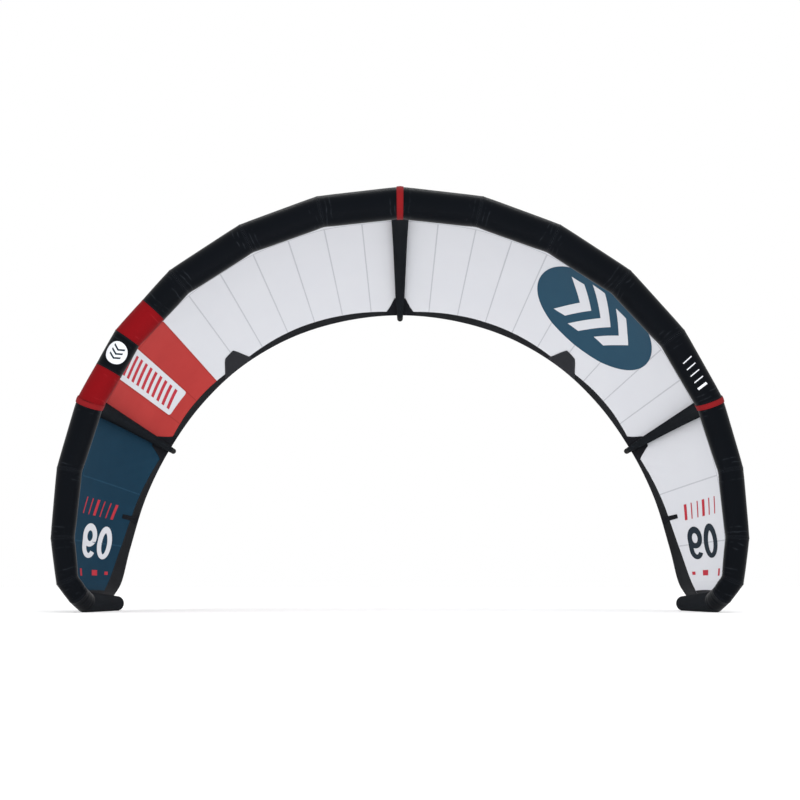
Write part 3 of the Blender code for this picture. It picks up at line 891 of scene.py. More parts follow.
def mapped_grid(across: Sequence[float], along: Sequence[float], place: GridMap,
                cloth_uv: GridUV, seam_uv: Optional[GridUV] = None) -> Form:
    """Lay a grid on a surface and give it its two UV maps.

    Args:
        across: the surface's first coordinate at each column.
        along: its second coordinate at each row.
        place: the surface, from both coordinates to a point.
        cloth_uv: metres along both thread directions.
        seam_uv: metres along a sewn edge and away from it; far away if left out.

    Returns:
        The laid grid as an open mesh.
    """
    form = bmesh.new()
    columns, rows = len(across) - 1, len(along) - 1
    bmesh.ops.create_grid(form, x_segments=columns, y_segments=rows, size=0.5)
    spot = {}
    for vertex in form.verts:
        i = round((vertex.co.x + 0.5) * columns)
        j = round((vertex.co.y + 0.5) * rows)
        spot[vertex] = (across[i], along[j])
    cloth_layer = form.loops.layers.uv.new("cloth")
    seam_layer = form.loops.layers.uv.new("seam")
    for face in form.faces:
        for loop in face.loops:
            loop[cloth_layer].uv = cloth_uv(*spot[loop.vert])
            loop[seam_layer].uv = seam_uv(*spot[loop.vert]) if seam_uv else (0.0, 1.0)
    for vertex, (a, b) in spot.items():
        vertex.co = place(a, b)
    return form


def give_wall(form: Form, core: Callable[[Vector], Vector], thickness: float) -> float:
    """Face an open sheet away from a line inside it, and give it its wall.

    Args:
        form: the open sheet.
        core: gives the line's point nearest to any point.
        thickness: wall outside the sheet, or inside it where negative.

    Returns:
        Area of the open sheet in square metres.
    """
    area = facing = 0.0
    for face in form.faces:
        face.normal_update()
        middle, size = face.calc_center_median(), face.calc_area()
        area += size
        facing += face.normal.dot(middle - core(middle)) * size
    if facing < 0.0:
        bmesh.ops.reverse_faces(form, faces=form.faces[:])
    form.normal_update()
    bmesh.ops.solidify(form, geom=form.faces[:], thickness=-thickness)
    bmesh.ops.recalc_face_normals(form, faces=form.faces[:])
    return area


def append(whole: Form, part: Form) -> None:
    """Add one mesh to another and free it.

    Args:
        whole: mesh that grows.
        part: mesh that is used up.
    """
    carrier = bpy.data.meshes.new("carrier")
    part.to_mesh(carrier)
    part.free()
    whole.from_mesh(carrier)
    bpy.data.meshes.remove(carrier)


def close_shell(form: Form) -> None:
    """Merge the doubles of a wrapped grid, close its open ends and turn its faces outwards.

    Args:
        form: the wrapped grid.
    """
    bmesh.ops.remove_doubles(form, verts=form.verts[:], dist=0.02 * MM)
    bmesh.ops.dissolve_degenerate(form, dist=0.01 * MM, edges=form.edges[:])
    open_edges = [edge for edge in form.edges if edge.is_boundary]
    if open_edges:
        bmesh.ops.holes_fill(form, edges=open_edges, sides=0)
    bmesh.ops.recalc_face_normals(form, faces=form.faces[:])


def add_piece(name: str, form: Form, finish: WovenFinish | PlainFinish,
              stands_for: Sequence[str] = (), sharp_deg: float = 35.0) -> bpy.types.Object:
    """Turn a mesh into a named piece of the kite.

    Args:
        name: name of the piece.
        form: its mesh, which is used up.
        finish: what it is made of.
        stands_for: CAD nodes that it replaces.
        sharp_deg: edges bent more than this stay sharp.

    Returns:
        The piece, riding on the kite's one body.
    """
    mesh = bpy.data.meshes.new(name)
    form.to_mesh(mesh)
    form.free()
    mesh.shade_smooth()
    mesh.set_sharp_from_angle(angle=math.radians(sharp_deg))
    mesh.materials.append(material_of(finish))
    piece = bpy.data.objects.new(name, mesh)
    bpy.context.scene.collection.objects.link(piece)
    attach(piece, "root")
    if stands_for:
        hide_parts(*stands_for)
    log.info("%s: %d faces", name, len(mesh.polygons))
    return piece


# ---- inflated leading edge
@dataclass
class LeadingEdge:
    """The segmented inflated tube: nine mitred lengths a side, and the wingtip tubes."""

    arch: Arch
    sides: int = 64                      # columns round the tube
    rows: int = 44                       # rows along one straight run
    gather: float = 0.82                 # rows crowd towards the seams
    wingtip_gather: float = 0.5
    seam_gap: float = 0.3 * MM
    seam_pull: float = 1.0 * MM          # the tube draws in at a seam
    seam_pull_reach: float = 0.045
    ridge: float = 0.5 * MM              # doubled cloth at the seam
    ridge_width: float = 0.006
    crease: float = 1.9 * MM             # creases each side of a bend, deepest inside it
    crease_wave: float = 0.020
    crease_reach: float = 0.052
    crease_all_round: float = 0.3        # part of the creases' depth that goes right round
    crease_swing: float = 1.4            # radians that a crease wanders along the tube
    crease_swing_deg: float = 40.0       # and the angle round the tube over which it does
    crease_depths: tuple[float, float] = (0.6, 0.8)    # mean share of the depth, and swing
    crease_depths_deg: float = 55.0
    dome_depth: float = 0.75             # rounded end of the wingtip tube, in its radius
    dome_droop: float = 0.45
    dome_rows: int = 12
    dome_step: float = 0.1               # between two rows, as a span position
    red_lengths: tuple[tuple[float, float], ...] = ((3.5, 4), (4.5, 5))

    def seam_distance(self, side: Side, s: float) -> float:
        """Distance in metres to the nearest seam or bend, from a position without sign."""
        nearest = min(abs(s - stop) for stop in (*TUBE_STOPS[side], ELBOW))
        return nearest * self.arch.run_length(s)

    def sag(self, side: Side, s: float, phi_deg: float) -> float:
        """Depth of the tube's surface under its drawn shape.

        Args:
            side: half of the kite.
            s: span position, without sign.
            phi_deg: angle round the tube from its outer side.

        Returns:
            Metres towards the tube's middle, nought or more but for the seam's ridge.
        """
        away = self.seam_distance(side, s)
        pull = self.seam_pull * math.exp(-(away / self.seam_pull_reach) ** 2)
        ridge = self.ridge * (1.0 - smoothstep(0.7 * self.ridge_width, self.ridge_width, away))
        corner = self.arch.corner_distance(s)
        inner = 0.5 - 0.5 * math.cos(math.radians(phi_deg))
        inner = self.crease_all_round + (1.0 - self.crease_all_round) * inner
        phase = self.crease_swing * noise.noise(
            Vector((round(s) * 3.1, phi_deg / self.crease_swing_deg, 0.5)))
        wave = 0.5 + 0.5 * math.cos(2.0 * math.pi * corner / self.crease_wave + phase)
        mean, swing = self.crease_depths
        strength = mean + swing * noise.noise(
            Vector((s * 2.3, phi_deg / self.crease_depths_deg, 4.0)))
        crease = (self.crease * inner * wave * max(strength, 0.0)
                  * math.exp(-(corner / self.crease_reach) ** 2)
                  * smoothstep(0.0, self.ridge_width, corner))
        return pull + crease - ridge

    def surface(self, side: Side, s: float, phi_deg: float, proud: float = 0.0) -> Vector:
        """Point of the creased tube at a span position without sign, or proud of it."""
        point = self.arch.tube_point(side.value * s, phi_deg, proud - self.sag(side, s, phi_deg))
        return self.floored(point)

    def floored(self, point: Vector) -> Vector:
        """The point, levelled onto the floor where a wingtip tube rests."""
        level = 0.0 if point.z < self.arch.floor_snap else point.z
        return Vector((point.x, point.y, level))

    def length(self, side: Side, number: int, start: float, end: float) -> None:
        """One sewn length of the tube between two span positions without sign.

        Args:
            side: half of the kite.
            number: the length's number from the centre.
            start: its inner span position.
            end: its outer span position.
        """
        arch = self.arch
        stops = [start] + [p.s for p in arch.path if start < p.s < end] + [end]
        rows: list[float] = []
        for low, high in zip(stops, stops[1:]):
            trim = 0.5 * self.seam_gap / arch.run_length(0.5 * (low + high))
            first = low + (trim if low == stops[0] else 0.0)
            last = high - (trim if high == stops[-1] else 0.0)
            rows += spaced(first, last, self.rows, self.gather)[1 if rows else 0:]
        form = mapped_grid(
            spaced(0.0, 360.0, self.sides), rows,
            lambda phi, s: self.surface(side, s, phi),
            lambda phi, s: (math.radians(phi) * arch.tube_radius(s), s * arch.run_length(s)),
            lambda phi, s: (math.radians(phi) * arch.tube_radius(s),
                            self.seam_distance(side, s)))
        close_shell(form)
        red = side is Side.LEFT and (start, end) in self.red_lengths
        piece = add_piece(f"leading_edge_cloth_{side.label}_{number:02d}", form,
                          RED_SAILCLOTH if red else BLACK_SAILCLOTH,
                          [f"leading_edge_{side.label}_{number:02d}"])

    def wingtip(self, side: Side) -> None:
        """The level tube along one wingtip, with its rounded and slightly drooping end.

        Args:
            side: half of the kite.
        """
        arch, sign = self.arch, float(side.value)
        length = arch.run_length(0.5 * (TIP + TIP_END))
        reach = self.dome_depth * arch.path[-1].radius / length
        trim, turns_at = 0.5 * self.seam_gap / length, TIP_END - reach
        straight = spaced(TIP + trim, turns_at, self.rows, self.wingtip_gather)
        dome = [turns_at + self.dome_step * (k + 1) for k in range(self.dome_rows)]

        def place(phi: float, s: float) -> Vector:
            """Point of the tube, or of its end where s runs past the straight part.

            Args:
                phi: angle round the tube.
                s: span position.

            Returns:
                The point.
            """
            if s <= turns_at:
                return self.surface(side, s, phi)
            turn = 0.5 * math.pi * (s - turns_at) / (self.dome_step * self.dome_rows)
            along = turns_at + reach * math.sin(turn)
            shrink = math.cos(turn)
            middle = arch.tube_middle(sign * along)
            point = arch.tube_point(sign * along, phi)
            centre = Vector((middle.x, middle.y,
                             middle.z * (1.0 - self.dome_droop * (1.0 - shrink))))
            return self.floored(centre + (point - middle) * shrink)

        form = mapped_grid(
            spaced(0.0, 360.0, self.sides), straight + dome, place,
            lambda phi, s: (math.radians(phi) * arch.tube_radius(min(s, TIP_END)), s * length),
            lambda phi, s: (math.radians(phi) * arch.tube_radius(min(s, TIP_END)),
                            (s - TIP) * length))
        close_shell(form)
        piece = add_piece(f"wingtip_tube_cloth_{side.label}", form, PAINTED_SHEEN_SAILCLOTH,
                          [f"wingtip_tube_{side.label}"])

    def build(self) -> None:
        """Every length of the tube on both halves, and both wingtip tubes."""
        for side in Side:
            for number, start, end in numbered(TUBE_STOPS[side]):
                self.length(side, number, start, end)
            self.wingtip(side)


# ---- webbing round the tube
@dataclass(frozen=True)
class BandShape:
    """Name, span position and width of one band; its front leans aside by the last figure."""

    where: str
    station: float
    width: float
    lean: float


@dataclass
class RingBands:
    """Webbing sewn round the leading edge where a strut meets it, open at the canopy seat."""

    arch: Arch
    thickness: float = 2.4 * MM
    clearance: float = 0.4 * MM
    end_deg: float = -285.0
    columns: int = 120
    rows: int = 10
    shapes: tuple[BandShape, ...] = (BandShape("centre", 0.0, 0.038, 0.0),
                                     BandShape("left", -5.0, 0.030, -0.018),
                                     BandShape("right", 5.0, 0.030, 0.018))

    def band(self, shape: BandShape) -> None:
        """One band of webbing, bent over the tube's corner.

        Args:
            shape: its place and size.
        """
        arch, where, station, width = self.arch, shape.where, shape.station, shape.width
        corner = arch.path[int(abs(station))]
        run = arch.run_length(abs(station) + 0.5)

        def place(phi: float, across: float) -> Vector:
            """Point of the band's inner face, from metres across it."""
            aside = across - shape.lean * math.sin(math.radians(phi))
            return arch.tube_point(station + aside / run, phi, self.clearance)

        form = mapped_grid(
            spaced(0.0, self.end_deg, self.columns),
            spaced(-0.5 * width, 0.5 * width, self.rows), place,
            lambda phi, across: (math.radians(phi) * corner.radius, across),
            lambda phi, across: (math.radians(phi) * corner.radius, 0.5 * width - abs(across)))
        middle = arch.tube_middle(station)
        area = give_wall(form, lambda point: middle, self.thickness)
        piece = add_piece(f"ring_webbing_{where}", form, RED_WEBBING, [f"ring_band_{where}"])

    def build(self) -> None:
        """The three bands."""
        for shape in self.shapes:
            self.band(shape)


# ---- struts and their bumpers
@dataclass(frozen=True)
class StrutShape:
    """Name, span position and three radii of one inflated strut."""

    where: str
    station: float
    front: float
    rear: float
    tail: float


@dataclass(eq=False)
class Struts:
    """The three tapered inflated struts under the canopy, and the rubber on their tails."""

    arch: Arch
    shapes: tuple[StrutShape, ...] = (
        StrutShape("centre", 0.0, 0.062, 0.030, 0.020),
        StrutShape("left", -5.0, 0.056, 0.026, 0.018),
        StrutShape("right", 5.0, 0.056, 0.026, 0.018),
    )
    clear: float = 0.0035                # the strut's top under the canopy
    knee: float = 0.86                   # chord position where the taper to the tail starts
    end: float = 0.975                   # where the cloth stops and the bumper starts
    gap: float = 0.3 * MM
    mouth_proud: float = 3.3 * MM        # the mouth clears the webbing round the tube
    mouth_search: float = 0.35           # the mouth is in front of this chord position
    mouth_halvings: int = 30
    fin: float = 1.2 * MM                # sewn ridge along the top
    fin_deg: float = 9.0
    fin_start: float = 0.03
    slack: float = 1.5 * MM              # lengthwise creases where the mouth is gathered
    slack_reach: float = 0.11
    slack_folds: float = 4.2             # how many gathers lie round the mouth
    tail_slack: float = 1.0 * MM
    bumper_length: float = 0.050
    bumper_rows: int = 8
    bumper_edge: float = 0.0015          # chord position of its first full row, past its start
    dome_rows: int = 12
    dome_deg: float = 88.0               # the rest of the dome is its flat middle
    sides: int = 48
    rows: int = 70
    gather: float = 0.3                  # rows crowd towards both ends
    cap: tuple[float, ...] = (0.03, 0.35, 0.65, 0.88, 0.97)   # rings of a flat end, by radius

    def radius(self, shape: StrutShape, u: float) -> float:
        """Radius of a strut at a chord position.

        Args:
            shape: the strut.
            u: chord position.

        Returns:
            The radius in metres.
        """
        if u < self.knee:
            return shape.front + (shape.rear - shape.front) * u / self.knee
        part = (min(u, 1.0) - self.knee) / (1.0 - self.knee)
        return shape.rear + (shape.tail - shape.rear) * part

    @lru_cache(maxsize=None)
    def axes(self, where: int, u: float) -> tuple[Vector, Vector, Vector]:
        """Centre, upward and sideways directions of a strut's section.

        Args:
            where: number of the strut.
            u: chord position; past the trailing edge the strut runs on straight.

        Returns:
            The centre and two unit vectors.
        """
        arch, shape = self.arch, self.shapes[where]
        inside, step = min(u, 1.0), 0.01
        normal = arch.canopy_normal(shape.station, inside)
        axis = (arch.canopy_point(shape.station, min(inside + step, 1.0))
                - arch.canopy_point(shape.station, max(inside - step, 0.0))).normalized()
        normal = (normal - axis * normal.dot(axis)).normalized()
        centre = arch.canopy_point(shape.station, inside)
        centre = centre - normal * (self.radius(shape, inside) + self.clear)
        centre += axis * (u - inside) * arch.chord(shape.station)
        return centre, normal, axis.cross(normal)

    def skin(self, where: int, u: float, turn_deg: float, shrink: float = 1.0,
             extra: float = 0.0) -> Vector:
        """Point of a strut's section, turned from its top, shrunk towards its centre."""
        (centre, up, side), turn = self.axes(where, u), math.radians(turn_deg)
        radius = (self.radius(self.shapes[where], min(u, 1.0)) + extra) * shrink
        return centre + (up * math.cos(turn) + side * math.sin(turn)) * radius

    def outside_tube(self, station: float, point: Vector) -> float:
        """Distance in metres from the leading edge tube's surface to a point outside it.

        Args:
            station: the strut's span position.
            point: the point.

        Returns:
            The distance.
        """
        arch, corner = self.arch, int(abs(station))
        point = mirrored_if(point, station < 0 or (not corner and point.x < 0.0))
        past = (point - arch.path[corner].centre).dot(arch.frames[corner].mitre)
        index = corner if past >= 0.0 or not corner else corner - 1
        first, second = arch.path[index], arch.path[index + 1]
        line = second.centre - first.centre
        part = (point - first.centre).dot(line) / line.length_squared
        radius = first.radius + (second.radius - first.radius) * part
        return (point - first.centre - line * part).length - radius

    @lru_cache(maxsize=None)
    def mouth(self, where: int, turn_deg: float, shrink: float = 1.0) -> float:
        """Chord position where a line along the strut comes out of the leading edge.

        Args:
            where: number of the strut.
            turn_deg: turn round the section from its top.
            shrink: part of the radius.

        Returns:
            The chord position.
        """
        low, high = 0.0, self.mouth_search
        for _ in range(self.mouth_halvings):
            middle = 0.5 * (low + high)
            point = self.skin(where, middle, turn_deg, shrink)
            if self.outside_tube(self.shapes[where].station, point) < self.mouth_proud:
                low = middle
            else:
                high = middle
        return high

    def unevenness(self, where: int, u: float, turn_deg: float) -> float:
        """How far a strut's cloth stands outside its drawn surface.

        Args:
            where: number of the strut.
            u: chord position.
            turn_deg: turn round the section from its top.

        Returns:
            The height in metres.
        """
        turn = math.radians(turn_deg)
        away = (u - self.mouth(where, turn_deg)) * self.arch.chord(self.shapes[where].station)
        gathers = noise.noise(Vector((self.slack_folds * math.cos(turn),
                                      self.slack_folds * math.sin(turn), 2.0 * u + 5.0 * where)))
        tail = smoothstep(self.knee, self.end, u)
        aside = min(turn_deg, 360.0 - turn_deg) / self.fin_deg
        fin = self.fin * math.exp(-aside ** 2) * smoothstep(0.0, self.fin_start, away)
        strength = self.slack * math.exp(-(away / self.slack_reach) ** 2) + self.tail_slack * tail
        return fin - strength * (0.5 - gathers) * (1.0 - math.exp(-aside ** 2))

    def body(self, where: int) -> None:
        """One strut, with its mouth closed along the leading edge's surface.

        Args:
            where: number of the strut.
        """
        shape, arch = self.shapes[where], self.arch
        chord = arch.chord(shape.station)
        lines = [(0.0, shrink) for shrink in self.cap]
        lines += [(v, 1.0) for v in spaced(0.0, 1.0, self.rows, self.gather)]
        lines += [(1.0, shrink) for shrink in reversed(self.cap)]

        def chord_position(turn: float, line: float) -> float:
            """Chord position of a grid line on the strut."""
            part, shrink = lines[round(line)]
            first = self.mouth(where, turn % 360.0, 1.0 if part else shrink)
            return first + (self.end - first) * part

        def place(turn: float, line: float) -> Vector:
            """Point of the strut's cloth or of its closed ends."""
            shrink, u = lines[round(line)][1], chord_position(turn, line)
            extra = self.unevenness(where, u, turn % 360.0) if shrink == 1.0 else 0.0
            return self.skin(where, u, turn, shrink, extra)

        form = mapped_grid(
            spaced(0.0, 360.0, self.sides), [float(k) for k in range(len(lines))], place,
            lambda turn, line: (math.radians(turn) * shape.front,
                                chord_position(turn, line) * chord),
            lambda turn, line: (chord_position(turn, line) * chord,
                                math.radians(abs(turn - 180.0)) * shape.front))
        close_shell(form)
        piece = add_piece(f"strut_cloth_{shape.where}", form, PAINTED_SHEEN_SAILCLOTH,
                          [f"strut_{shape.where}"], sharp_deg=50.0)

    def bumper(self, where: int) -> None:
        """The rounded rubber end on a strut's tail.

        Args:
            where: number of the strut.
        """
        shape = self.shapes[where]
        chord = self.arch.chord(shape.station)
        start = self.end + self.gap / chord
        rows = [(start, shrink) for shrink in self.cap]
        rows += [(start + step, 1.0) for step in spaced(
            self.bumper_edge, self.bumper_length / chord, self.bumper_rows)]
        last, dome = rows[-1][0], shape.tail / chord
        for turn_deg in spaced(0.0, self.dome_deg, self.dome_rows)[1:]:
            turn = math.radians(turn_deg)
            rows.append((last + dome * math.sin(turn), math.cos(turn)))
        form = mapped_grid(
            spaced(0.0, 360.0, self.sides), [float(k) for k in range(len(rows))],
            lambda turn, line: self.skin(where, rows[round(line)][0], turn,
                                         rows[round(line)][1]),
            lambda turn, line: (math.radians(turn) * shape.tail, rows[round(line)][0] * chord))
        close_shell(form)
        add_piece(f"strut_end_{shape.where}", form, BUMPER_RUBBER, [f"strut_bumper_{shape.where}"])

    def build(self) -> None:
        """Every strut and its bumper."""
        for where in range(len(self.shapes)):
            self.body(where)
            self.bumper(where)


# ---- canopy panels
@dataclass
class Canopy:
    """Sixteen sewn panels from the leading edge to the trailing edge band, with seam tapes."""

    arch: Arch
    rumple: Rumple
    band: "TrailingEdge"
    columns_a_station: int = 44
    least_columns: int = 8
    rows: int = 84
    gather: float = 0.2                  # rows crowd towards both edges
    tape_width: float = 0.008
    tape_thickness: float = 0.35 * MM
    tape_off: float = 0.05 * MM
    tape_rows: int = 60
    last_front_seam: float = 8.4
    tint_changes: tuple[float, float] = (3.5, 5)    # left half: white, then red, then blue
    seam_gap: float = 0.3 * MM

    def cloths(self, side: Side, start: float) -> tuple[WovenFinish, WovenFinish]:
        """Cloth and tape of the panel that starts at a span position."""
        tint = sum(start >= change for change in self.tint_changes) if side is Side.LEFT else 0
        return ((WHITE_RIPSTOP, WHITE_TAPE), (RED_RIPSTOP, RED_TAPE),
                (BLUE_RIPSTOP, BLUE_TAPE))[tint]

    def panel(self, side: Side, number: int, start: float, end: float) -> None:
        """One panel of cloth between two span positions without sign.

        Args:
            side: half of the kite.
            number: the panel's number from the centre.
            start: its inner span position.
            end: its outer span position.
        """
        arch, sign = self.arch, float(side.value)
        cloth, tape = self.cloths(side, start)
        trim = 0.5 * self.seam_gap / arch.run_length(0.5 * (start + end))
        columns = max(round(self.columns_a_station * (end - start)), self.least_columns)

        def chord_position(s: float, row: float) -> float:
            """Chord position of a row, which ends where the trailing edge band starts."""
            return row * (self.band.start(s) - 0.5 * self.band.gap / arch.chord(s))

        form = mapped_grid(
            spaced(start + trim, end - trim, columns), spaced(0.0, 1.0, self.rows, self.gather),
            lambda s, row: self.rumple.point(sign * s, chord_position(s, row)),
            lambda s, row: ((s - start) * arch.span_scale(s, chord_position(s, row)),
                            row * arch.chord(s)),
            lambda s, row: (s * arch.run_length(s), row * arch.chord(s)))
        area = give_wall(form, arch.middle_line, CLOTH)
        piece = add_piece(f"canopy_cloth_{side.label}_{number:02d}", form, cloth,
                          [f"canopy_{side.label}_{number:02d}"])
        width = max(arch.span_run(start, end, u) for u in (0.0, 0.25, 0.5, 0.75, 1.0))
        length = max(arch.section_run(s, 0.0, self.band.start(s)) for s in (start, end))
        self.tapes(side, number, start, end, tape)

    def tapes(self, side: Side, number: int, start: float, end: float,
              finish: WovenFinish) -> bpy.types.Object:
        """The tapes sewn over a panel's seams, on both faces.

        Args:
            side: half of the kite.
            number: the panel's number from the centre.
            start: the panel's inner span position.
            end: the panel's outer span position.
            finish: the tapes' cloth.

        Returns:
            All of the panel's tapes as one piece.
        """
        whole = bmesh.new()
        for face in Face:
            for seam in self.rumple.seams:
                if start <= seam < end and (seam > 0.0 or side is Side.RIGHT):
                    append(whole, self.fore_aft_tape(side, seam, face))
            append(whole, self.spanwise_tape(side, start, min(end, self.last_front_seam), face))
        return add_piece(f"seam_tapes_{side.label}_{number:02d}", whole, finish)

    def tape_place(self, side: Side, s: float, u: float, face: Face) -> Vector:
        """Point of a tape's sewn face, just off the cloth."""
        off = CLOTH + self.tape_off if face is Face.OVER else -self.tape_off
        return self.rumple.point(side.value * s, u, off)

    def fore_aft_tape(self, side: Side, seam: float, face: Face) -> Form:
        """Tape along the chord over one seam; under the kite it starts at the front seam.

        Args:
            side: half of the kite.
            seam: the seam's span position.
            face: face of the cloth.

        Returns:
            The tape.
        """
        arch = self.arch
        scale = arch.span_scale(seam, 0.4)
        half = 0.5 * self.tape_width / scale
        first = self.rumple.front_at(seam) if face is Face.UNDER else 0.0

        def chord_position(s: float, row: float) -> float:
            """Chord position of a row."""
            return first + (self.band.start(s) - self.band.gap / arch.chord(s) - first) * row

        form = mapped_grid(
            spaced(seam - half, seam + half, 4), spaced(0.0, 1.0, self.tape_rows, self.gather),
            lambda s, row: self.tape_place(side, s, chord_position(s, row), face),
            lambda s, row: ((s - seam) * scale, row * arch.chord(seam)),
            lambda s, row: (row * arch.chord(seam), (s - seam + half) * scale))
        give_wall(form, arch.middle_line, self.tape_thickness * face.value)
        return form

    def spanwise_tape(self, side: Side, start: float, end: float, face: Face) -> Form:
        """Tape along the span over the seam behind the front panel.

        Args:
            side: half of the kite.
            start: inner span position.
            end: outer span position.
            face: face of the cloth.

        Returns:
            The tape.
        """
        arch = self.arch
        columns = max(round(self.columns_a_station * (end - start)), self.least_columns)

        def chord_position(s: float, across: float) -> float:
            """Chord position of a row, from metres across the tape."""
            return self.rumple.front_at(s) + across / arch.chord(s)

        form = mapped_grid(
            spaced(start, end, columns),
            spaced(-0.5 * self.tape_width, 0.5 * self.tape_width, 4),
            lambda s, across: self.tape_place(side, s, chord_position(s, across), face),
            lambda s, across: (s * arch.run_length(s), across),
            lambda s, across: (s * arch.run_length(s), across + 0.5 * self.tape_width))
        give_wall(form, arch.middle_line, self.tape_thickness * face.value)
        return form

    def build(self) -> None:
        """Every panel of both halves."""
        for side in Side:
            for number, start, end in numbered(PANEL_STOPS[side]):
                self.panel(side, number, start, end)


# ---- trailing edge and patches
@dataclass
class TrailingEdge:
    """The dark doubled band along the rear edge."""

    arch: Arch
    rumple: Rumple
    gap: float = 0.6 * MM
    thickness: float = 2.4 * MM
    drop: float = 0.3 * MM               # its under face is this far below the canopy's
    end_trim: float = 0.0002             # span positions left free at each end of a length
    joint: float = 5.0                   # span position where its two lengths meet
    fixings: tuple[float, ...] = (0.0, 3.0, 5.0, 6.45, 9.0)
    widths: tuple[float, ...] = (0.036, 0.036, 0.036, 0.088, 0.180)   # at the fixings
    bows: tuple[float, ...] = (0.044, 0.040, 0.006, 0.0)              # more, halfway between
    columns_a_station: int = 24
    rows: int = 12
    strip_widths: tuple[float, float] = (0.036, 0.060)   # in front and behind
    strip_thickness: float = 0.5 * MM
    strip_off: float = 0.45 * MM         # clear of the seam tapes
    strip_reach: tuple[float, float] = (0.04, 0.002)
    strip_scale_at: float = 8.9          # span position where its width is measured
    strip_columns: int = 8
    strip_rows: int = 60

    def width_at(self, s: float) -> float:
        """Width of the band, whose canopy side runs straight from fixing to fixing.

        Args:
            s: span position.

        Returns:
            The width in metres.
        """
        last = len(self.bows) - 1
        k = next((k for k in range(last) if s <= self.fixings[k + 1]), last)
        part = (s - self.fixings[k]) / (self.fixings[k + 1] - self.fixings[k])
        straight = self.widths[k] + (self.widths[k + 1] - self.widths[k]) * part
        return straight + 4.0 * self.bows[k] * part * (1.0 - part)

    def start(self, s: float) -> float:
        """Chord position where the band starts."""
        return 1.0 - self.width_at(s) / self.arch.chord(s)

    def length(self, side: Side, name: str, start: float, end: float) -> None:
        """One length of the band between two span positions without sign.

        Args:
            side: half of the kite.
            name: which length it is.
            start: its inner span position.
            end: its outer span position.
        """
        arch, sign = self.arch, float(side.value)
        columns = round(self.columns_a_station * (end - start))

        def chord_position(s: float, row: float) -> float:
            """Chord position across the band."""
            first = self.start(s) + 0.5 * self.gap / arch.chord(s)
            return first + (1.0 - first) * row

        form = mapped_grid(
            spaced(start + self.end_trim, end - self.end_trim, columns),
            spaced(0.0, 1.0, self.rows),
            lambda s, row: self.rumple.point(sign * s, chord_position(s, row), -self.drop),
            lambda s, row: (s * arch.span_scale(s, 1.0), row * self.width_at(s)),
            lambda s, row: (s * arch.span_scale(s, 1.0),
                            min(row, 1.0 - row) * self.width_at(s)))
        area = give_wall(form, arch.middle_line, self.thickness)
        piece = add_piece(f"trailing_edge_band_{side.label}_{name}", form, BLACK_BAND,
                          [f"trailing_edge_{side.label}_{name}"])
        run = arch.span_run(start, end, 1.0)
        widest = max(self.width_at(s) for s in spaced(start, end, 12))
        panels_between(side, start, end)

    def tip_strip(self, side: Side) -> None:
        """Dark strip that binds the canopy's lowest edge, just above the wingtip tube.

        Args:
            side: half of the kite.
        """
        arch = self.arch
        whole = bmesh.new()
        for face in Face:
            off = CLOTH + self.strip_off if face is Face.OVER else -self.strip_off

            def chord_position(s: float, row: float) -> float:
                """Chord position of a row."""
                first, last = self.strip_reach
                return first + (self.start(s) - last / arch.chord(s) - first) * row

            def width(row: float) -> float:
                """Width of the strip at a row."""
                return self.strip_widths[0] + (self.strip_widths[1] - self.strip_widths[0]) * row

            def place(part: float, row: float, off: float = off) -> Vector:
                """Point of the strip, from the part of its width above the edge."""
                scale = arch.span_scale(self.strip_scale_at, chord_position(TIP, row))
                s = TIP - self.end_trim - part * width(row) / scale
                return self.rumple.point(side.value * s, chord_position(s, row), off)

            form = mapped_grid(
                spaced(0.0, 1.0, self.strip_columns), spaced(0.0, 1.0, self.strip_rows), place,
                lambda part, row: (part * width(row), row * arch.chord(TIP)),
                lambda part, row: (row * arch.chord(TIP), min(part, 1.0 - part) * width(row)))
            give_wall(form, arch.middle_line, self.strip_thickness * face.value)
            append(whole, form)
        add_piece(f"tip_strip_{side.label}", whole, BLACK_BAND)

    def build(self) -> None:
        """Both lengths of the band and the tip strip on both halves."""
        for side in Side:
            self.length(side, "inner", 0.0, self.joint)
            self.length(side, "outer", self.joint, TIP)
            self.tip_strip(side)


@dataclass(frozen=True)
class PatchShape:
    """Outline of a sewn patch, as its two sides from front to rear.

    Each point is metres from the patch's station, and metres in front of the rear edge. The
    outer side is the one towards the tip.
    """

    name: str
    station: float
    finish: WovenFinish
    inner: tuple[tuple[float, float], ...]
    outer: tuple[tuple[float, float], ...]


STRUT_SIDE = ((0.036, 0.212), (0.044, 0.186), (0.067, 0.112), (0.092, 0.052), (0.106, 0.020),
              (0.110, 0.004))
BATTEN_SIDE = ((0.014, 0.190), (0.015, 0.172), (0.017, 0.100), (0.022, 0.060), (0.034, 0.020),
               (0.040, 0.004))


def mirrored_side(side: tuple[tuple[float, float], ...]) -> tuple[tuple[float, float], ...]:
    """The same side of an outline on the other hand."""
    return tuple((-across, before) for across, before in side)


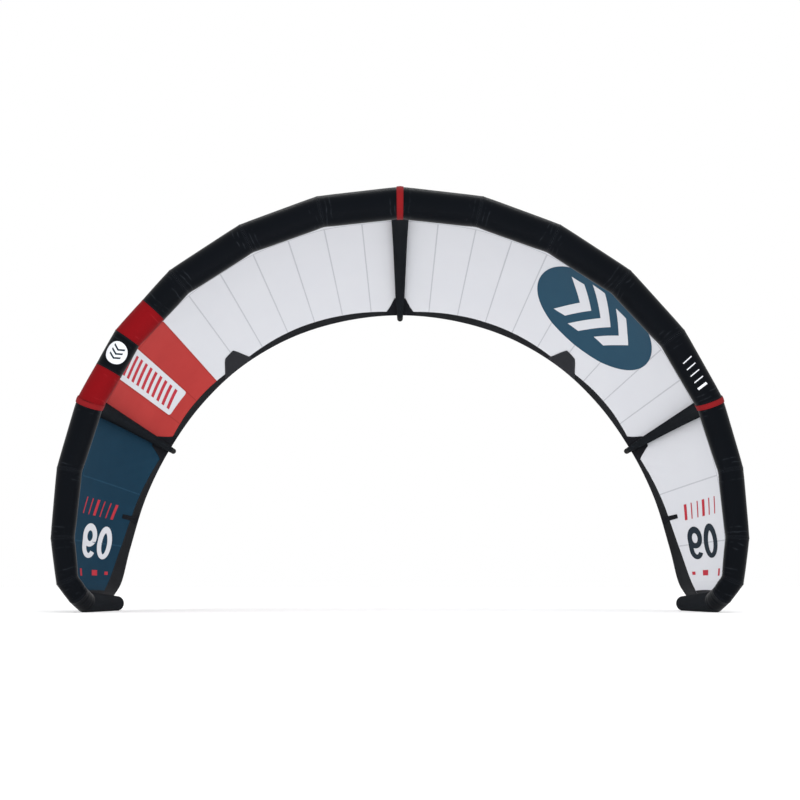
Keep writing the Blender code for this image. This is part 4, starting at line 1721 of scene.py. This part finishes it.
@dataclass
class Patches:
    """Stiff patches sewn under the rear of the canopy at struts, battens and bare stations."""

    arch: Arch
    rumple: Rumple
    thickness: float = 1.5 * MM
    clear: float = 0.6 * MM              # under the canopy and its seam tapes
    corner: float = 0.012                # rounding of the two front corners
    crease: float = 0.7 * MM             # creases that fan out from the front to the rear
    creases: float = 4.0
    scale_at: float = 0.97               # chord position where the width is measured
    columns: int = 32
    rows: int = 40
    shapes: tuple[PatchShape, ...] = (
        PatchShape("edge_patch", 3.0, CHARCOAL_PATCH,
                   ((-0.020, 0.222), (-0.040, 0.176), (-0.060, 0.120), (-0.082, 0.060),
                    (-0.100, 0.020), (-0.112, 0.004)),
                   ((0.052, 0.200), (0.070, 0.168), (0.090, 0.122), (0.112, 0.072),
                    (0.136, 0.026), (0.150, 0.004))),
        PatchShape("strut_patch", 5.0, BLACK_PATCH, mirrored_side(STRUT_SIDE), STRUT_SIDE),
        PatchShape("batten_patch", 6.45, BLACK_PATCH, mirrored_side(BATTEN_SIDE), BATTEN_SIDE),
    )

    def side_point(self, side: Sequence[tuple[float, float]], t: float) -> Vector:
        """Point along one side of an outline, from 0 at the front to 1 at the rear.

        Args:
            side: points of the side.
            t: place along it.

        Returns:
            The point.
        """
        place = t * (len(side) - 1)
        index = min(int(place), len(side) - 2)
        points = [Vector(side[min(max(index + k, 0), len(side) - 1)]) for k in (-1, 0, 1, 2)]
        return catmull_rom(points, place - index)

    def patch(self, shape: PatchShape, where: str, sign: float) -> None:
        """One patch.

        Args:
            shape: its outline.
            where: left, right or centre, for its name.
            sign: 1, or -1 to mirror the outline onto the left half.
        """
        arch = self.arch
        chord = arch.chord(shape.station)
        scale = arch.span_scale(shape.station, self.scale_at)
        long = shape.inner[0][1]
        corner = min(self.corner, 0.9 * shape.outer[0][0])

        def flat(across: float, t: float) -> Vector:
            """Metres from the station and in front of the rear edge.

            Args:
                across: place from side to side, -1 to 1.
                t: place from front to rear, 0 to 1.

            Returns:
                The point.
            """
            inner, outer = self.side_point(shape.inner, t), self.side_point(shape.outer, t)
            down = t * long
            inset = 0.0
            if down < corner:
                inset = corner * (1.0 - math.sqrt(1.0 - (1.0 - down / corner) ** 2))
            share = inset / max((outer - inner).length, corner)
            return inner.lerp(outer, share + (1.0 - 2.0 * share) * 0.5 * (across + 1.0))

        def place(across: float, t: float) -> Vector:
            """Point of the patch's upper face.

            Args:
                across: place from side to side, -1 to 1.
                t: place from front to rear, 0 to 1.

            Returns:
                The point.
            """
            spot = flat(across, t)
            s = sign * (shape.station + spot.x / scale)
            fan = math.cos(across * math.pi * self.creases) * math.sin(math.pi * min(t, 1.0))
            off = -self.clear - self.crease * (0.5 + 0.5 * fan)
            return self.rumple.point(s, 1.0 - spot.y / chord, off)

        form = mapped_grid(
            spaced(-1.0, 1.0, self.columns, 0.3), [k ** 1.6 for k in spaced(0.0, 1.0, self.rows)],
            place, lambda a, t: tuple(flat(a, t)),
            lambda a, t: (t * long, min((1.0 - abs(a)) * (flat(1.0, t) - flat(-1.0, t)).length / 2,
                                        t * long)))
        area = give_wall(form, arch.middle_line, -self.thickness)
        name = f"{shape.name}_{where}"
        piece = add_piece(f"sewn_{name}", form, shape.finish, [name])
        low, high = (shape.station + point[0][0] / scale for point in (shape.inner, shape.outer))
        halves = Side if where == "centre" else [side for side in Side if side.label == where]
        panels = [name for side in halves for name in panels_between(side, low, high)]

    def build(self) -> None:
        """The patches of both halves and the centre one."""
        for shape in self.shapes:
            for side in Side:
                self.patch(shape, side.label, float(side.value))
        self.patch(replace(self.shapes[1], station=0.0), "centre", 1.0)


# ---- printed marks
@dataclass(frozen=True)
class Spot:
    """Where a mark's middle lies on the canopy; s is without sign."""

    side: Side
    s: float
    u: float


def flat_disc(half_x: float, half_y: float, segments: int = 96) -> Form:
    """Flat oval.

    Args:
        half_x: half its size along X.
        half_y: half its size along Y.
        segments: number of its sides.

    Returns:
        The flat shape.
    """
    form = bmesh.new()
    bmesh.ops.create_circle(form, cap_ends=True, radius=1.0, segments=segments)
    bmesh.ops.scale(form, vec=(half_x, half_y, 1.0), verts=form.verts[:])
    return form


def flat_bar(width: float, length: float, corner: float = 0.0) -> Form:
    """Flat bar, width along X and length along Y, with its corners rounded.

    Args:
        width: size along X.
        length: size along Y.
        corner: rounding of its corners.

    Returns:
        The flat shape.
    """
    form = bmesh.new()
    bmesh.ops.create_grid(form, x_segments=1, y_segments=1, size=0.5)
    bmesh.ops.scale(form, vec=(width, length, 1.0), verts=form.verts[:])
    if corner:
        bmesh.ops.bevel(form, geom=form.verts[:], offset=corner, segments=6, profile=0.5,
                        affect="VERTICES", material=-1)
    return form


def flat_chevron(width: float, reach: float, slope: float) -> Form:
    """Flat chevron that points along X, with arms out to reach along Y.

    Args:
        width: of its arms, along X.
        reach: of each arm along Y.
        slope: how far the arms lie back for each metre of reach.

    Returns:
        The flat shape.
    """
    form = bmesh.new()
    bmesh.ops.create_grid(form, x_segments=1, y_segments=2, size=0.5)
    bmesh.ops.scale(form, vec=(width, 2.0 * reach, 1.0), verts=form.verts[:])
    for vertex in form.verts:
        vertex.co.x -= abs(vertex.co.y) * slope
    return form


def flat_bars(widths: Sequence[float], height: float, pitch: float, lean: float) -> Form:
    """Row along Y of slanted bars across X.

    Args:
        widths: width of each bar.
        height: size of the bars across the row.
        pitch: distance between the middles of two bars.
        lean: shift along the row per metre across it.

    Returns:
        The row, centred on the origin.
    """
    row = bmesh.new()
    for k, width in enumerate(widths):
        bar = flat_bar(height, width)
        for vertex in bar.verts:
            vertex.co.y += (k - 0.5 * (len(widths) - 1)) * pitch + vertex.co.x * lean
        append(row, bar)
    return row


def flat_stroke(path: Callable[[float], Vector], first: float, last: float, weight: float) -> Form:
    """Flat stroke of one width along a smooth path.

    Args:
        path: the path's point at a position along it.
        first: position where the stroke starts.
        last: position where it ends.
        weight: its width.

    Returns:
        The stroke as one row of faces.
    """
    def place(across: float, t: float) -> Vector:
        """Point beside the path."""
        heading = (path(t + 0.01) - path(t - 0.01)).normalized()
        return path(t) + Vector((heading.y, -heading.x, 0.0)) * across * weight

    return mapped_grid((-0.5, 0.5), spaced(first, last, 32), place, lambda across, t: (0.0, 0.0))


@dataclass(frozen=True)
class Figures:
    """Plain rounded figures for the kite's size, each one unit tall."""

    weight: float = 0.17
    width: float = 0.55
    pitch: float = 0.60
    bowl: float = 0.62                   # height of the nine's bowl
    hook: float = 1.65                   # quarter turns of the nine's tail
    joined: float = 1e-5                 # stroke ends this near become one

    def arc(self, middle: float, reach: float, quarters: float) -> Vector:
        """Point of an upright oval, by quarter turns from its right side."""
        turn = 0.5 * math.pi * quarters
        return Vector((0.5 * (self.width - self.weight) * math.cos(turn),
                       middle + reach * math.sin(turn), 0.0))

    def nought(self) -> Form:
        """The figure 0."""
        reach = 0.5 * (1.0 - self.weight)
        return flat_stroke(lambda t: self.arc(0.0, reach, t), 0.0, 4.0, self.weight)

    def nine(self) -> Form:
        """The figure 9: a stroke down the right with a hooked tail, and the rest of the bowl.

        Returns:
            The flat shape.
        """
        middle, reach = 0.5 * (1.0 - self.bowl), 0.5 * (self.bowl - self.weight)
        turn_at = 0.5 - self.bowl
        tail = 0.5 * (1.0 - self.weight) + turn_at

        def path(t: float) -> Vector:
            """Point of the stroke: the bowl's top right, a straight, and the hooked tail.

            Args:
                t: position along the stroke.

            Returns:
                The point.
            """
            if t < 1.0:
                return self.arc(middle, reach, 1.0 - t)
            if t < 2.0:
                return self.arc(middle + (turn_at - middle) * (t - 1.0), 0.0, 0.0)
            return self.arc(turn_at, tail, 2.0 - t)

        whole = flat_stroke(path, 0.0, 2.0 + self.hook, self.weight)
        rest = flat_stroke(lambda t: self.arc(middle, reach, t), 1.0, 4.0, self.weight)
        edge = Vector((0.5 * self.width - self.weight, 0.0, 0.0))
        below = [face for face in rest.faces if face.calc_center_median().y < middle]
        geom = {item for face in below for item in (face, *face.edges, *face.verts)}
        bmesh.ops.bisect_plane(rest, geom=list(geom), plane_co=edge, plane_no=(1.0, 0.0, 0.0),
                               clear_outer=True)
        append(whole, rest)
        return whole

    def size_mark(self, width: float, height: float) -> Form:
        """The figures 09, centred on the origin and fitted to a size.

        Args:
            width: of both figures.
            height: of a figure.

        Returns:
            The flat shape.
        """
        form = moved(self.nought(), -0.5 * self.pitch, 0.0)
        append(form, moved(self.nine(), 0.5 * self.pitch, 0.0))
        bmesh.ops.remove_doubles(form, verts=form.verts[:], dist=self.joined)
        bmesh.ops.scale(form, vec=(width / (self.width + self.pitch), height, 1.0),
                        verts=form.verts[:])
        return form


def moved(form: Form, x: float, y: float, turn_deg: float = 0.0) -> Form:
    """A flat shape turned about the origin and shifted.

    Args:
        form: the flat shape.
        x: shift along X.
        y: shift along Y.
        turn_deg: turn to the left.

    Returns:
        The same shape.
    """
    turn = Matrix.Rotation(math.radians(turn_deg), 3, "Z")
    bmesh.ops.rotate(form, cent=(0.0, 0.0, 0.0), matrix=turn, verts=form.verts[:])
    bmesh.ops.translate(form, vec=(x, y, 0.0), verts=form.verts[:])
    return form


def sliced(form: Form, step_x: float, step_y: float, seams: Sequence[float] = ()) -> Form:
    """Cut a flat shape into small pieces so that it can bend, and give it its UV maps.

    Args:
        form: the flat shape.
        step_x: spacing of the cuts across X.
        step_y: spacing of the cuts across Y.
        seams: X positions of further cuts.

    Returns:
        The same shape, with both UV maps in metres.
    """
    for axis, step in ((0, step_x), (1, step_y)):
        low = min(v.co[axis] for v in form.verts)
        high = max(v.co[axis] for v in form.verts)
        across = Vector((1.0 - axis, axis, 0.0))
        cuts = [k * step for k in range(math.ceil(low / step), math.floor(high / step) + 1)]
        if not axis:
            cuts += [x for x in seams if low < x < high]
        for cut in cuts:
            geom = form.verts[:] + form.edges[:] + form.faces[:]
            bmesh.ops.bisect_plane(form, geom=geom, dist=1e-6, plane_co=across * cut,
                                   plane_no=across)
    maps = form.loops.layers.uv
    cloth, seam = (maps.get(name) or maps.new(name) for name in ("cloth", "seam"))
    for face in form.faces:
        for loop in face.loops:
            loop[cloth].uv = loop.vert.co.xy
            loop[seam].uv = (0.0, 1.0)
    return form


@dataclass
class Prints:
    """Plain marks printed on the canopy and the leading edge.

    A flat shape's X runs towards the tip, and its Y towards the rear edge or round the tube.
    """

    arch: Arch
    rumple: Rumple
    tube: LeadingEdge
    ink: float = 0.15 * MM
    lift: float = 0.9 * MM               # clear of the seam tapes
    layer: float = 0.25 * MM             # one ink over another
    tube_lift: float = 0.45 * MM
    cut: float = 0.018                   # spacing of the cuts that let a flat shape bend
    chord_cut: float = 0.014
    tube_cut: float = 0.010
    chevron_slope: float = 0.55
    disc: Spot = Spot(Side.RIGHT, 3.03, 0.535)
    disc_half: tuple[float, float] = (0.43, 0.435)
    disc_arm: float = 0.085              # width of its chevrons' arms
    disc_chevrons: tuple[tuple[float, float], ...] = ((-0.10, 0.22), (0.06, 0.28),
                                                      (0.22, 0.22))    # place, reach
    label: Spot = Spot(Side.LEFT, 4.25, 0.545)
    label_size: tuple[float, float, float] = (0.205, 0.94, 0.024)      # with its corners
    # Rows of bars: width of each, height, pitch, lean.
    label_row: tuple[tuple[float, ...], float, float, float] = ((0.036,) * 11, 0.142, 0.076, 0.34)
    tip_row: tuple[tuple[float, ...], float, float, float] = (
        (0.012, 0.012, 0.030, 0.012, 0.012, 0.030), 0.105, 0.070, 0.25)
    number_size: tuple[float, float] = (0.335, 0.220)
    blocks: tuple[tuple[float, ...], ...] = ((-0.15, 0.020, 0.050), (0.01, 0.060, 0.040),
                                             (0.14, 0.035, 0.025))   # place, width, height
    bars_at: tuple[float, float] = (6.42, 0.61)      # span and chord position at each tip
    number_at: tuple[float, float] = (7.02, 0.637)
    blocks_at: tuple[float, float] = (7.74, 0.63)
    tube_bars: tuple[float, ...] = (0.006, 0.006, 0.006, 0.006, 0.014)
    tube_bar_length: float = 0.062
    tube_bar_pitch: float = 0.042
    tube_bar_turn_deg: float = 12.0
    tube_bars_at: tuple[float, float] = (4.56, 264.0)    # span position, angle round the tube
    tube_disc_at: tuple[float, float] = (4.25, 264.0)
    tube_disc_radius: float = 0.064
    tube_arm: tuple[float, float] = (0.011, 0.034)       # width and reach
    tube_chevrons: tuple[float, ...] = (-0.018, 0.008, 0.034)

    def on_canopy(self, name: str, flat: Form, spot: Spot, finish: WovenFinish,
                  layer: int = 0) -> None:
        """Bend a flat shape onto both faces of the canopy.

        Args:
            name: name of the piece.
            flat: the flat shape, which is used up.
            spot: where its origin lies.
            finish: the ink.
            layer: how many inks lie under it.
        """
        scale, chord = self.arch.span_scale(spot.s, spot.u), self.arch.chord(spot.s)
        seams = [(seam - spot.s) * scale for seam in self.rumple.seams]
        sliced(flat, self.cut, self.chord_cut, seams)
        whole = bmesh.new()
        for face in Face:
            off = self.lift + layer * self.layer
            off = CLOTH + off if face is Face.OVER else -off
            form = flat.copy()
            for vertex in form.verts:
                s = spot.side.value * (spot.s + vertex.co.x / scale)
                vertex.co = self.rumple.point(s, spot.u + vertex.co.y / chord, off)
            give_wall(form, self.arch.middle_line, self.ink * face.value)
            append(whole, form)
        flat.free()
        add_piece(name, whole, finish)

    def on_tube(self, name: str, flat: Form, side: Side, s: float, phi_deg: float,
                finish: WovenFinish, layer: int = 0) -> None:
        """Wrap a flat shape onto the leading edge.

        Args:
            name: name of the piece.
            flat: the flat shape, which is used up.
            side: half of the kite.
            s: span position of its origin, without sign.
            phi_deg: angle of its origin round the tube.
            finish: the ink.
            layer: how many inks lie under it.
        """
        run, radius = self.arch.run_length(s), self.arch.tube_radius(s)
        proud = self.tube_lift + layer * self.layer
        sliced(flat, self.tube_cut, self.tube_cut)
        for vertex in flat.verts:
            phi = phi_deg + math.degrees(vertex.co.y / radius)
            vertex.co = self.tube.surface(side, s + vertex.co.x / run, phi, proud)
        middle = self.arch.tube_middle(side.value * s)
        give_wall(flat, lambda point: middle, self.ink)
        add_piece(name, flat, finish)

    def disc_emblem(self) -> None:
        """Large navy disc with three white chevrons on the right half's white panels."""
        self.on_canopy("print_disc", flat_disc(*self.disc_half), self.disc, NAVY_PRINT)
        chevrons = bmesh.new()
        for x, reach in self.disc_chevrons:
            append(chevrons, moved(flat_chevron(self.disc_arm, reach, self.chevron_slope), x, 0.0))
        self.on_canopy("print_disc_chevrons", chevrons, self.disc, WHITE_PRINT, layer=1)

    def label_emblem(self) -> None:
        """White label with a row of slanted red bars on the left half's red panel."""
        self.on_canopy("print_label", flat_bar(*self.label_size), self.label, WHITE_PRINT)
        self.on_canopy("print_label_bars", flat_bars(*self.label_row), self.label, RED_PRINT,
                       layer=1)

    def tip_marks(self, side: Side) -> None:
        """A row of slanted bars, the kite's size number and three small blocks at one tip.

        Args:
            side: half of the kite.
        """
        hand = float(side.value)
        *row, lean = self.tip_row
        self.on_canopy(f"print_bars_{side.label}", flat_bars(*row, lean * hand),
                       Spot(side, *self.bars_at), RED_PRINT)
        number = moved(Figures().size_mark(*self.number_size), 0.0, 0.0, 90.0)
        for vertex in number.verts:
            vertex.co.y *= hand
        self.on_canopy(f"print_number_{side.label}", number, Spot(side, *self.number_at),
                       WHITE_PRINT if side is Side.LEFT else DARK_PRINT)
        blocks = bmesh.new()
        for y, width, height in self.blocks:
            append(blocks, moved(flat_bar(height, width), 0.0, y))
        self.on_canopy(f"print_blocks_{side.label}", blocks, Spot(side, *self.blocks_at),
                       RED_PRINT)

    def tube_marks(self) -> None:
        """A row of white bars on the right leading edge and a white disc on the left one."""
        row = bmesh.new()
        for k, width in enumerate(self.tube_bars):
            append(row, moved(flat_bar(width, self.tube_bar_length),
                              (k - 2) * self.tube_bar_pitch, 0.0, self.tube_bar_turn_deg))
        self.on_tube("print_tube_bars", row, Side.RIGHT, *self.tube_bars_at, WHITE_PRINT)
        disc = flat_disc(self.tube_disc_radius, self.tube_disc_radius, 64)
        self.on_tube("print_tube_disc", disc, Side.LEFT, *self.tube_disc_at, WHITE_PRINT)
        chevrons = bmesh.new()
        for x in self.tube_chevrons:
            append(chevrons, moved(flat_chevron(*self.tube_arm, self.chevron_slope), x, 0.0))
        self.on_tube("print_tube_chevrons", chevrons, Side.LEFT, *self.tube_disc_at,
                     DARK_PRINT, layer=1)

    def build(self) -> None:
        """Every printed mark."""
        self.disc_emblem()
        self.label_emblem()
        for side in Side:
            self.tip_marks(side)
        self.tube_marks()


# ---- studio
@dataclass(frozen=True)
class Lamp:
    """A soft rectangular lamp: where it stands, what it points at, its size and power."""

    name: str
    place: tuple[float, float, float]
    aim: tuple[float, float, float]
    size: tuple[float, float]
    power: float
    mirrored: bool                  # seen in glossy cloth


@dataclass
class Studio:
    """Pale floor, soft white light and the camera low in front of the kite."""

    arch: Arch
    floor_radius: float = 60.0
    floor_sides: int = 96
    floor_glow: float = 0.26
    camera_distance: float = 7.5
    camera_height: float = 0.15
    pitch_deg: float = 7.80
    lens_mm: float = 60.75
    lamps: tuple[Lamp, ...] = (
        Lamp("fill_lamp", (0.0, -4.5, 1.9), (0.0, 0.0, 1.4), (2.6, 2.0), 85.0, False),
        Lamp("strip_lamp", (0.0, 1.0, 6.4), (0.0, -0.8, 2.3), (5.5, 0.6), 75.0, True),
    )

    def floor(self) -> None:
        """A wide pale lit floor, which keeps shadows soft."""
        form = bmesh.new()
        bmesh.ops.create_circle(form, cap_ends=True, radius=self.floor_radius,
                                segments=self.floor_sides)
        mesh = bpy.data.meshes.new("studio_floor")
        form.to_mesh(mesh)
        form.free()
        paper = PlainFinish("matt_studio_paper", None, "#ececec", 0.9, 0.1, grain_mm=4.0,
                            glow=self.floor_glow)
        mesh.materials.append(material_of(paper))
        floor = bpy.data.objects.new("studio_floor", mesh)
        bpy.context.scene.collection.objects.link(floor)

    def lights(self) -> None:
        """White surroundings and two large soft lamps."""
        world = bpy.data.worlds.new("studio")
        world.use_nodes = True
        background = world.node_tree.nodes["Background"]
        background.inputs["Color"].default_value = (1.0, 1.0, 1.0, 1.0)
        background.inputs["Strength"].default_value = 1.0
        bpy.context.scene.world = world
        for lamp in self.lamps:
            light = bpy.data.lights.new(lamp.name, "AREA")
            light.shape = "RECTANGLE"
            light.size, light.size_y = lamp.size
            light.energy = lamp.power
            holder = bpy.data.objects.new(lamp.name, light)
            holder.location = lamp.place
            aim = Vector(lamp.aim) - Vector(lamp.place)
            holder.rotation_euler = aim.to_track_quat("-Z", "Y").to_euler()
            holder.visible_camera = False
            holder.visible_glossy = lamp.mirrored
            bpy.context.scene.collection.objects.link(holder)

    def camera(self) -> None:
        """Camera near the floor, looking slightly up under the arch."""
        lens = bpy.data.cameras.new("camera")
        lens.lens = self.lens_mm
        lens.sensor_width = 36.0
        lens.clip_end = 200.0
        camera = bpy.data.objects.new("camera", lens)
        camera.location = (0.0, self.arch.slide - self.camera_distance, self.camera_height)
        camera.rotation_euler = (math.radians(90.0 + self.pitch_deg), 0.0, 0.0)
        bpy.context.scene.collection.objects.link(camera)
        bpy.context.scene.camera = camera
        bpy.context.scene.view_settings.view_transform = "Standard"

    def build(self) -> None:
        """The whole studio."""
        self.floor()
        self.lights()
        self.camera()


def main() -> None:
    """Build the kite's looks round the frame."""
    logging.basicConfig(level=logging.INFO, format="%(name)s: %(message)s")
    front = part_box("leading_edge_right_01")[0].y
    arch = Arch(slide=front + Arch.stations[0].tube)
    rumple = Rumple(arch)
    Studio(arch).build()
    tube = LeadingEdge(arch)
    tube.build()
    RingBands(arch).build()
    band = TrailingEdge(arch, rumple)
    Canopy(arch, rumple, band).build()
    band.build()
    Patches(arch, rumple).build()
    Struts(arch).build()
    Prints(arch, rumple, tube).build()


if __name__ == "__main__":
    main()
